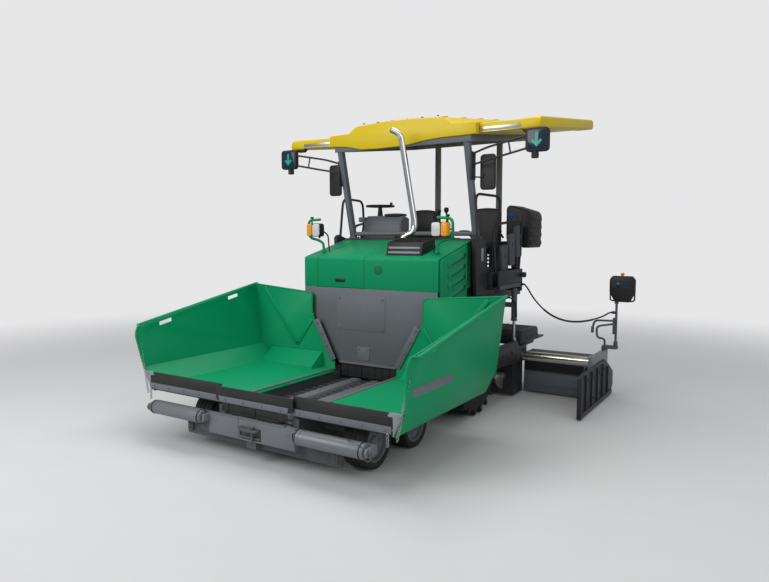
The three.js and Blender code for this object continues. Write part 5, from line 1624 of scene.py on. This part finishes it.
    @staticmethod
    def _loop(x: float, y: float, z: float, half_x: float, half_y: float, axis: Axis) -> list[Point]:
        """A closed rounded loop for piping."""
        points = softened_rectangle((x - half_x, y - half_y), (x + half_x, y + half_y), 0.1)
        points.append(points[0])
        return [tuple(axis.point(z, a, b)) for a, b in points]

    def _locker(self) -> None:
        """A ribbed black shell with a rounded lid that hangs outside the left rail."""
        outline = [
            (0.96, 2.13), (1.18, 2.13), (1.18, 2.02), (1.3, 2.02), *arc((1.21, 2.44), 0.1, 0.0, 60.0, 5),
            *arc((1.02, 2.54), 0.06, 80.0, 180.0, 6)]
        shell = Shape().prism(outline, Axis.Y, 1.99, 2.47, 0.024, 4)
        for z in (2.06, 2.17, 2.28, 2.39):
            shell.box((1.29, 2.01, z), (1.316, 2.45, z + 0.06), 0.01)
        for x in (1.02, 1.1, 1.18):
            shell.box((x - 0.016, 1.982, 2.17), (x + 0.016, 1.996, 2.48), 0.006)
        shell.box((0.98, 2.15, 1.4404), (1.06, 2.25, 2.15), 0.008)
        self.dress(shell, "locker_shell", BLACK, "tractor", ["side_locker"])
        cloth = cushion((0.975, 1.975, 2.44), (1.07, 2.0, 2.5), 0.004, 0.4, 4)
        self.dress(cloth, "locker_cloth", BLUE, "tractor", (), 60.0)


# ---------------------------------------------------------------- roof


def roof_bottom_z(y: float) -> float:
    """The height of the roof's underside."""
    return 3.39 + 0.128 * (y - 0.7)


@dataclass
class Roof(SubAssembly):
    """The posts and beams, the yellow shell with sliding extensions, and the arms for mirrors and signals."""

    def build(self) -> None:
        """Builds the frame, shell, extensions and arms."""
        self._frame()
        self._shell()
        self._extensions()
        self._arms()

    def _frame(self) -> None:
        """Bent posts, sloping beams and the crossbar."""
        posts = Shape.of_node("roof_frame", 0.008)
        for x in (-0.94, 0.94):
            posts.box((x - 0.05, 1.0, 2.1505), (x + 0.058, 1.115, 2.166), 0.004)
            posts.bolts(
                [(x + dx, y, 2.166) for dx in (-0.035, 0.045) for y in (1.015, 1.1)], (0.0, 0.0, 1.0), 0.01,
                0.008)
        for x in (-0.52, 0.52):
            posts.box((x - 0.06, 2.74, 1.4404), (x + 0.06, 2.86, 1.456), 0.004)
        posts.rod((-0.93, 1.05, 2.21), (0.93, 1.05, 2.21), 0.0295, sides=28)
        self.dress(posts, "roof_posts", GREY, "tractor", ["roof_frame"])

    def _shell(self) -> None:
        """The moulded shell, a wavy skirt along its front, bolts and a raised panel."""
        shell = Shape.of_node("roof_shell", 0.014, 3)
        skirt = [
            (1.085, 0.0), (0.9, -0.006), (0.62, -0.01), (0.4, -0.026), (0.16, -0.06), (0.0, -0.072),
            (-0.3, -0.078), (-0.58, -0.07), (-0.7, -0.04), (-0.85, -0.014), (-1.085, 0.0)]
        top = [
            (-1.085, 0.128), (-1.06, 0.143), (-0.76, 0.15), (-0.66, 0.225), (-0.2, 0.256), (0.2, 0.256),
            (0.66, 0.225), (0.76, 0.15), (1.06, 0.143), (1.085, 0.128)]
        shell.prism([(x, 3.39 + h) for x, h in (*skirt, *top)], Axis.Y, 0.684, 0.7125, 0.01, 3)
        for i in range(4):
            y = 1.0 + i * 0.55
            z = roof_bottom_z(y) + 0.2617
            shell.bar((-0.55, y, z), (0.55, y, z), 0.06, 0.01, Vector((0.0, -0.127, 0.992)), 0.004)
        self.dress(shell, "roof_skin", YELLOW, "tractor", ["roof_shell"], 30.0)
        caps = Shape().bolts(
            [(-0.55 + 0.22 * i, 0.74, roof_bottom_z(0.74) + 0.259) for i in range(6)], (0.0, -0.127, 0.992),
            0.014, 0.01)
        self.dress(caps, "roof_bolts", BLACK, "tractor")

    def _extensions(self) -> None:
        """Sliding side roofs with rounded end caps, slide rails and a bracket below."""
        wing = Shape.of_node("roof_extension_left", 0.012, 3)
        cap = [
            (y, roof_bottom_z(y) + h) for y,
            h in ((0.772, 0.004), (0.772, 0.104), (0.812, 0.14), (2.99, 0.14), (3.034, 0.104), (3.034, 0.004))]
        wing.prism(cap, Axis.X, 1.6, 1.8395, 0.026, 4)
        self.dress_pair(wing, "side_roof", YELLOW, "roof_extension_{}", ["roof_extension_{}"], 30.0)
        rails = Shape()
        z = roof_bottom_z(0.776)
        rails.box((1.0, 0.7715, z + 0.036), (1.602, 0.786, z + 0.078), 0.004)
        rails.box((1.0, 0.7745, z + 0.014), (1.602, 0.786, z + 0.022), 0.002)
        self.dress_pair(rails, "roof_slide_rail", STEEL, "roof_extension_{}")
        bracket = Shape().prism(
            ((1.606, -0.004), (1.636, -0.034), (1.74, -0.034), (1.79, 0.012), (1.606, 0.0138)), Axis.Y, 0.8,
            0.86, 0.004)
        bracket.moved((0.0, 0.0, roof_bottom_z(0.83)))
        self.dress_pair(bracket, "side_roof_bracket", BLACK, "roof_extension_{}")

    def _arms(self) -> None:
        """Tube arms that carry a mirror, a signal screen and a work lamp on each side."""
        arm = Shape().tube([(0.983, 0.79, 3.165), (1.2, 0.76, 3.23), (1.76, 0.72, 3.33)], 0.013, 0.08, 14)
        arm.tube([(0.983, 0.82, 3.043), (1.3, 0.76, 3.1), (1.76, 0.72, 3.19)], 0.013, 0.08, 14)
        arm.rod((1.47, 0.742, 3.28), (1.5, 0.738, 3.135), 0.01, sides=14)
        arm.box((0.9754, 0.76, 2.86), (1.001, 0.88, 3.2), 0.005)
        arm.tube([(0.985, 0.86, 2.9), (1.09, 0.88, 2.89), (1.11, 0.9, 2.96)], 0.009, 0.03, 12)
        arm.bolts([(1.001, 0.82, z) for z in (2.9, 3.02, 3.15)], (1.0, 0.0, 0.0), 0.01, 0.008)
        self.dress_pair(arm, "signal_arm", DARK, "tractor", ["mirror_arm_{}"])
        case = Shape().prism(softened_rectangle((1.69, 3.13), (1.96, 3.4), 0.045), Axis.Y, 0.692, 0.76, 0.01, 3)
        case.prism(softened_rectangle((1.7, 3.14), (1.95, 3.39), 0.04), Axis.Y, 0.6885, 0.694, 0.002)
        case.lathe(
            [(3.06, 0.0001), (3.06, 0.036), (3.068, 0.042), (3.12, 0.042), (3.132, 0.03), (3.136, 0.0001)],
            Axis.Z, (1.8, 0.72, 0.0), 28)
        case.prism(softened_rectangle((1.05, 2.74), (1.25, 3.17), 0.045), Axis.Y, 0.892, 0.93, 0.012, 3)
        self.dress_pair(case, "signal_case", BLACK, "tractor")
        screen = Shape().prism(
            softened_rectangle((1.718, 3.158), (1.932, 3.372), 0.028), Axis.Y, 0.6865, 0.69, 0.001)
        self.dress_pair(screen, "signal_screen", SCREEN, "tractor")
        arrow = Shape().prism(
            (
                (1.825, 3.182), (1.89, 3.25), (1.868, 3.268), (1.842, 3.243), (1.842, 3.346), (1.808, 3.346),
                (1.808, 3.243), (1.782, 3.268), (1.76, 3.25)),
            Axis.Y, 0.685, 0.6875, 0.0005, 1)
        self.dress_pair(arrow, "signal_arrow", ARROW, "tractor")
        glass = Shape().prism(
            softened_rectangle((1.066, 2.756), (1.234, 3.154), 0.035), Axis.Y, 0.9295, 0.9325, 0.001)
        self.dress_pair(glass, "mirror_glass", MIRROR, "tractor")


# ---------------------------------------------------------------- augers and screed


@dataclass
class Screed(SubAssembly):
    """Augers, tow arms, the main screed, its extensions and gates, and the control stands."""

    auger_pitch: float = 0.3

    def build(self) -> None:
        """Builds from the tractor to the rear."""
        self._augers()
        self._arms()
        self._body()
        self._extensions()
        self._gates()
        self._stands()

    def _augers(self) -> None:
        """A spun screw flight on a shaft."""
        auger = Shape().rod((0.0704, 1.55, 0.33), (1.15, 1.55, 0.33), 0.035, sides=28, edge=0.003)
        bm = auger.bm
        x = 0.0904
        verts = [
            bm.verts.new((x + dx, 1.55, 0.33 + r)) for dx,
            r in ((0.0, 0.031), (0.009, 0.031), (0.007, 0.1795), (0.002, 0.1795))]
        face = bm.faces.new(verts)
        turns = (1.14 - 0.012 - x) / self.auger_pitch
        steps = round(turns * 32)
        before = set(bm.faces) - {face}
        bmesh.ops.spin(
            bm, geom=[face, *face.edges, *verts], cent=(0.0, 1.55, 0.33), axis=(1.0, 0.0, 0.0),
            dvec=(
                self.auger_pitch * turns / steps, 0.0, 0.0
            ), angle=math.tau * turns, steps=steps, use_merge=False, use_duplicate=False,
        )
        bmesh.ops.recalc_face_normals(bm, faces=[f for f in bm.faces if f not in before])
        auger.rod((0.0704, 1.55, 0.33), (0.088, 1.55, 0.33), 0.062, sides=28, edge=0.003)
        self.dress_pair(auger, "screw_auger", STEEL, "auger_{}", ["auger_{}"])

    def _arms(self) -> None:
        """Tow arms, their pivot plates and the lift rods."""
        arm = Shape.of_node("tow_arm_left", 0.008)
        arm.prism(
            ((0.3, 0.575), (0.3, 0.64), (1.05, 0.735), (1.58, 0.735), (1.58, 0.56), (1.05, 0.56)), Axis.X,
            1.2575, 1.263, 0.003)
        arm.bolts(
            [(1.263, y, z) for y, z in ((0.42, 0.612), (0.8, 0.64), (1.2, 0.65), (1.52, 0.65))],
            (1.0, 0.0, 0.0), 0.016, 0.01)
        self.dress_pair(arm, "tow_arm", DARK, "screed", ["tow_arm_{}"])
        rod = Shape().rod((1.229, 1.65, 0.8), (1.229, 1.65, 1.145), 0.02, sides=32, edge=0.003)
        rod.box((1.203, 1.62, 0.7804), (1.255, 1.68, 0.8264), 0.008)
        rod.rod((1.2, 1.65, 0.804), (1.258, 1.65, 0.804), 0.014, sides=20, edge=0.002)
        self.dress_pair(rod, "lift_rod", ROD_STEEL, "lift_rod_{}", ["lift_rod_{}"])

    def _body(self) -> None:
        """The main screed with its walkway, joints and bolts."""
        body = Shape.of_node("screed_body", 0.008)
        for x in (-0.8, -0.4, 0.0, 0.4, 0.8):
            body.box((x - 0.004, 1.858, 0.704), (x + 0.004, 2.562, 0.89), 0.001)
        rib = Shape().box((-1.19, 1.95, 0.8895), (1.19, 1.962, 0.893), 0.001, 1)
        body.along([(0.0, i * 0.055, 0.0) for i in range(10)], rib)
        rib = Shape().box((-1.2, 2.6, 0.7235), (1.2, 2.612, 0.727), 0.001, 1)
        body.along([(0.0, i * 0.05, 0.0) for i in range(4)], rib)
        for sign in (-1.0, 1.0):
            body.bolts(
                [(sign * 1.25, y, 0.77) for y in (1.92, 2.12, 2.32, 2.5)], (sign, 0.0, 0.0), 0.014, 0.008)
            body.box((sign * 1.25 - 0.004, 1.9, 0.716), (sign * 1.25 + 0.004, 2.52, 0.738), 0.002)
        body.bolts(
            [(-1.1 + i * 0.2, 1.76, z) for i in range(12) for z in (0.12, 0.42)], (0.0, -1.0, 0.0), 0.014, 0.01)
        self.dress(body, "main_screed", DARK, "screed", ["screed_body"])
        sole = Shape().box((-1.188, 1.755, 0.0195), (1.188, 2.112, 0.026), 0.001)
        self.dress(sole, "sole_plate", STEEL, "screed")

    def _extensions(self) -> None:
        """Extending screeds: lower plate, guarded upper part, end plate and the bright guide tube."""
        part = Shape.of_node("screed_extension_left", 0.006)
        part.prism(
            (
                (1.815, 0.43), (1.815, 0.63), (1.83, 0.636), (2.4, 0.636), (2.4, 0.61), (1.84, 0.61),
                (1.84, 0.43)),
            Axis.X, 2.17, 2.182, 0.003)
        part.bolts(
            [
                (2.18, y, z) for y,
                z in ((1.85, 0.46), (1.85, 0.6), (2.25, 0.6), (2.45, 0.4), (2.45, 0.15), (2.25, 0.12))],
            (-1.0, 0.0, 0.0), 0.013, 0.009)
        part.bolts(
            [(1.3 + i * 0.16, 2.15, z) for i in range(6) for z in (0.07,)], (0.0, -1.0, 0.0), 0.012, 0.008)
        part.box((1.215, 2.139, 0.12), (2.165, 2.151, 0.3), 0.004)
        self.dress_pair(part, "extending_screed", BLUE_GREY, "screed_extension_{}", ["screed_extension_{}"])
        upper = Shape().box((1.205, 2.136, 0.318), (2.178, 2.152, 0.526), 0.006)
        upper.prism(
            ((2.14, 0.515), (2.2, 0.56), (2.48, 0.56), (2.5, 0.5), (2.5, 0.46), (2.48, 0.46), (2.2, 0.53)),
            Axis.X, 1.206, 2.178, 0.004)
        upper.bolts(
            [(1.27 + i * 0.17, 2.136, z) for i in range(6) for z in (0.35, 0.49)], (0.0, -1.0, 0.0), 0.012,
            0.008)
        self.dress_pair(upper, "extension_guard", DARK, "screed_extension_{}")
        tube = Shape().lathe(
            [
                (0.772, 0.0001), (0.772, 0.06), (0.776, 0.0652), (2.15, 0.0652), (2.154, 0.074), (2.176, 0.076),
                (2.1795, 0.074), (2.1795, 0.0001)],
            Axis.X, (0.0, 1.9, 0.56), 48)
        self.dress_pair(tube, "guide_tube", TUBE, "screed_extension_{}")
        sole = Shape().box((1.202, 2.146, 0.0195), (2.178, 2.522, 0.025), 0.001)
        self.dress_pair(sole, "extension_sole", STEEL, "screed_extension_{}")

    def _gates(self) -> None:
        """Sliding end gates with ribs, brackets and a skid."""
        gate = Shape.of_node("end_gate_left", 0.005)
        for y in (1.35, 1.62, 1.89, 2.16, 2.43):
            gate.box((2.264, y - 0.01, 0.07), (2.288, y + 0.01, 0.5 if y < 2.3 else 0.43), 0.004)
        gate.prism(
            (
                (1.085, 0.018), (1.115, 0.01), (2.66, 0.01), (2.79, 0.14), (2.775, 0.15), (2.65, 0.028),
                (1.1, 0.028)),
            Axis.X, 2.238, 2.268, 0.002)
        gate.bolts(
            [(2.2654, y, z) for y in (1.2, 1.48, 1.75, 2.02, 2.29) for z in (0.14, 0.42)], (1.0, 0.0, 0.0),
            0.015, 0.01)
        gate.tube(
            [(2.262, 1.28, 0.535), (2.262, 1.28, 0.6), (2.262, 1.42, 0.6), (2.262, 1.42, 0.535)], 0.009, 0.03,
            12)
        self.dress_pair(gate, "edge_gate", DARK, "end_gate_{}", ["end_gate_{}"])

    def _stands(self) -> None:
        """Control stands: clamp foot, pole, bent handles and the control box on top."""
        pole = Shape().box((2.18, 2.44, 0.6404), (2.24, 2.54, 0.672), 0.005)
        pole.box((2.18, 2.44, 0.66), (2.38, 2.54, 0.7004), 0.006)
        pole.rod((2.35, 2.5, 0.68), (2.35, 2.5, 1.31), 0.016, sides=24)
        pole.rod((2.35, 2.5, 0.698), (2.35, 2.5, 0.76), 0.027, sides=28, edge=0.004)
        pole.rod((2.35, 2.5, 1.272), (2.35, 2.5, 1.304), 0.026, sides=28, edge=0.004)
        pole.box((2.31, 2.47, 0.86), (2.34, 2.53, 1.08), 0.006)
        pole.tube(
            [(2.21, 2.49, 0.69), (2.21, 2.49, 0.79), (2.12, 2.44, 0.8), (2.11, 2.43, 0.96), (2.34, 2.498, 1.0)],
            0.014, 0.06, 14)
        pole.tube([(2.345, 2.498, 1.04), (2.08, 2.42, 1.04), (2.06, 2.41, 0.88)], 0.014, 0.06, 14)
        pole.rod((2.062, 2.411, 0.87), (2.064, 2.413, 0.96), 0.019, sides=22, edge=0.006)
        for z in (0.9, 1.05):
            pole.rod((2.35, 2.47, z), (2.35, 2.44, z), 0.007, sides=12)
            pole.bar(
                (2.325, 2.438, z - 0.012), (2.375, 2.438, z + 0.012), 0.018, 0.008, Vector((0.0, -1.0, 0.0)),
                0.003)
        self.dress_pair(pole, "control_pole", UNDER, "screed_extension_{}", ["control_stand_{}"])
        case = Shape().prism(
            (
                (2.325, 1.3), (2.255, 1.43), (2.255, 1.6), (2.29, 1.648), (2.54, 1.648), (2.58, 1.6),
                (2.58, 1.43), (2.515, 1.3)),
            Axis.Y, 2.47, 2.55, 0.01, 3)
        case.prism(
            (
                (2.34, 1.32), (2.275, 1.44), (2.275, 1.59), (2.3, 1.63), (2.53, 1.63), (2.562, 1.59),
                (2.562, 1.44), (2.5, 1.32)),
            Axis.Y, 2.4605, 2.474, 0.004)
        case.tube([(2.262, 2.51, 1.47), (2.262, 2.51, 1.316), (2.35, 2.51, 1.308)], 0.01, 0.03, 12)
        case.tube([(2.574, 2.51, 1.47), (2.574, 2.51, 1.316), (2.49, 2.51, 1.308)], 0.01, 0.03, 12)
        case.rod((2.3096, 2.5, 1.152), (2.35, 2.5, 1.152), 0.018, sides=24, edge=0.002)
        case.rod((2.3, 2.5, 1.152), (2.312, 2.5, 1.152), 0.023, sides=6, edge=0.002)
        for i in range(4):
            for z in (1.4, 1.46, 1.58):
                case.rod(
                    (2.335 + i * 0.055, 2.461, z), (2.335 + i * 0.055, 2.452, z), 0.01, sides=16, edge=0.002)
        self.dress_pair(case, "control_box", BLACK, "screed_extension_{}")
        trim = Shape().prism(
            softened_rectangle((2.35, 1.49), (2.48, 1.555), 0.012), Axis.Y, 2.4585, 2.462, 0.001)
        self.dress_pair(trim, "control_panel", SCREEN, "screed_extension_{}")
        knob = Shape().lathe(
            [
                (1.6485, 0.0001), (1.6485, 0.016), (1.662, 0.016), (1.666, 0.024), (1.682, 0.024),
                (1.69, 0.016), (1.69, 0.0001)],
            Axis.Z, (2.415, 2.5, 0.0), 24)
        self.dress_pair(knob, "control_knob", ORANGE, "screed_extension_{}")


# ---------------------------------------------------------------- control cable


@dataclass
class ControlCable(SubAssembly):
    """The cable from the operator's stand to the left control stand."""

    radius: float = 0.013
    start: Point = (1.2503, 1.9, 1.53)
    end: Point = (2.31, 2.5, 1.152)
    split_x: float = 1.445  # where the screed's own stretch starts
    route: tuple[Point, ...] = (
        (1.2623, 1.9, 1.53), (1.275, 1.9, 1.528), (1.312, 1.915, 1.48), (1.372, 1.95, 1.368), (
            1.445, 1.992, 1.262), (1.53, 2.04, 1.168),
        (
            1.625, 2.094, 1.096
        ), (1.725, 2.151, 1.05), (1.83, 2.21, 1.028), (1.935, 2.27, 1.028), (2.035, 2.328, 1.044),
        (2.125, 2.385, 1.072),
        (2.2, 2.44, 1.106), (2.25, 2.484, 1.14), (2.284, 2.5, 1.152),
    )

    def build(self) -> None:
        """Lays the cable along its route, in one stretch for each joint that bends it."""
        smooth = self._smooth([Vector(p) for p in self.route], 8)
        path = [p + SHIFT for p in (Vector(self.start), *smooth, Vector(self.end))]
        split = next(i for i, p in enumerate(path) if p.x >= self.split_x)
        self._stretch("control_line", path, 0, split, ("tractor", "screed"))
        self._stretch("control_line_outer", path, split, len(path) - 1, ("screed", "screed_extension_left"))

    def _stretch(self, name: str, path: list[Vector], first: int, last: int, bodies: tuple[str, str]) -> None:
        """Args:
            name: the piece's name.
            path: the whole cable's points.
            first: the stretch's first point.
            last: its last point.
            bodies: the bodies at its two ends.
        """
        curve = bpy.data.curves.new(name, "CURVE")
        curve.dimensions = "3D"
        curve.bevel_depth = self.radius
        curve.bevel_resolution = 4
        curve.use_fill_caps = True
        spline = curve.splines.new("POLY")
        spline.points.add(last - first)
        for i, point in enumerate(spline.points, start=first):
            point.co = (*path[i], 1.0)
            share = i / len(path)
            if 0 < i < len(path) - 1 and (share < 0.34 or share > 0.74):
                point.radius = 1.0 if i % 2 else 0.62
        line = bpy.data.objects.new(name, curve)
        bpy.context.scene.collection.objects.link(line)
        mesh = bpy.data.meshes.new_from_object(line)
        bpy.data.objects.remove(line)
        cable = bpy.data.objects.new(name, mesh)
        bpy.context.scene.collection.objects.link(cable)
        mesh.materials.clear()
        mesh.materials.append(SHEATH.material())
        mesh.polygons.foreach_set("use_smooth", [True] * len(mesh.polygons))
        route = path[first:last + 1]
        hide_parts("control_cable")
        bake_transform(cable, *bodies, start=(route[0].x + 0.03, 0.0, 0.0), end=(route[-1].x - 0.03, 0.0, 0.0))
        self.pieces.append(cable)

    @staticmethod
    def _smooth(points: list[Vector], steps: int) -> list[Vector]:
        """A centripetal curve through the points.

        Args:
            points: the points it passes through.
            steps: points along each stretch.

        Returns:
            The curve's points.
        """
        line = [points[0] * 2 - points[1], *points, points[-1] * 2 - points[-2]]
        made = [points[0]]
        for a, b, c, d in zip(line, line[1:], line[2:], line[3:]):
            t = [0.0]
            for p, q in ((a, b), (b, c), (c, d)):
                t.append(t[-1] + max((q - p).length, 1e-6) ** 0.5)
            for i in range(1, steps + 1):
                u = t[1] + (t[2] - t[1]) * i / steps
                ab = a.lerp(b, (u - t[0]) / (t[1] - t[0]))
                bc = b.lerp(c, (u - t[1]) / (t[2] - t[1]))
                cd = c.lerp(d, (u - t[2]) / (t[3] - t[2]))
                abc = ab.lerp(bc, (u - t[0]) / (t[2] - t[0]))
                bcd = bc.lerp(cd, (u - t[1]) / (t[3] - t[1]))
                made.append(abc.lerp(bcd, (u - t[1]) / (t[2] - t[1])))
        return made

    def report(self) -> None:
        """Logs nothing for the cable's stretches."""


def main() -> None:
    """Builds the studio, then each sub-assembly in order."""
    logging.basicConfig(level=logging.INFO, format="%(name)s: %(message)s")
    Studio().build()
    assemblies = (
        ControlCable(), RunningGear(), Chassis(), Hopper(), PushBeam(), Hood(), OperatorStand(), Roof(),
        Screed())
    for assembly in assemblies:
        assembly.build()
        assembly.report()
    bpy.context.view_layer.update()


if __name__ == "__main__":
    main()
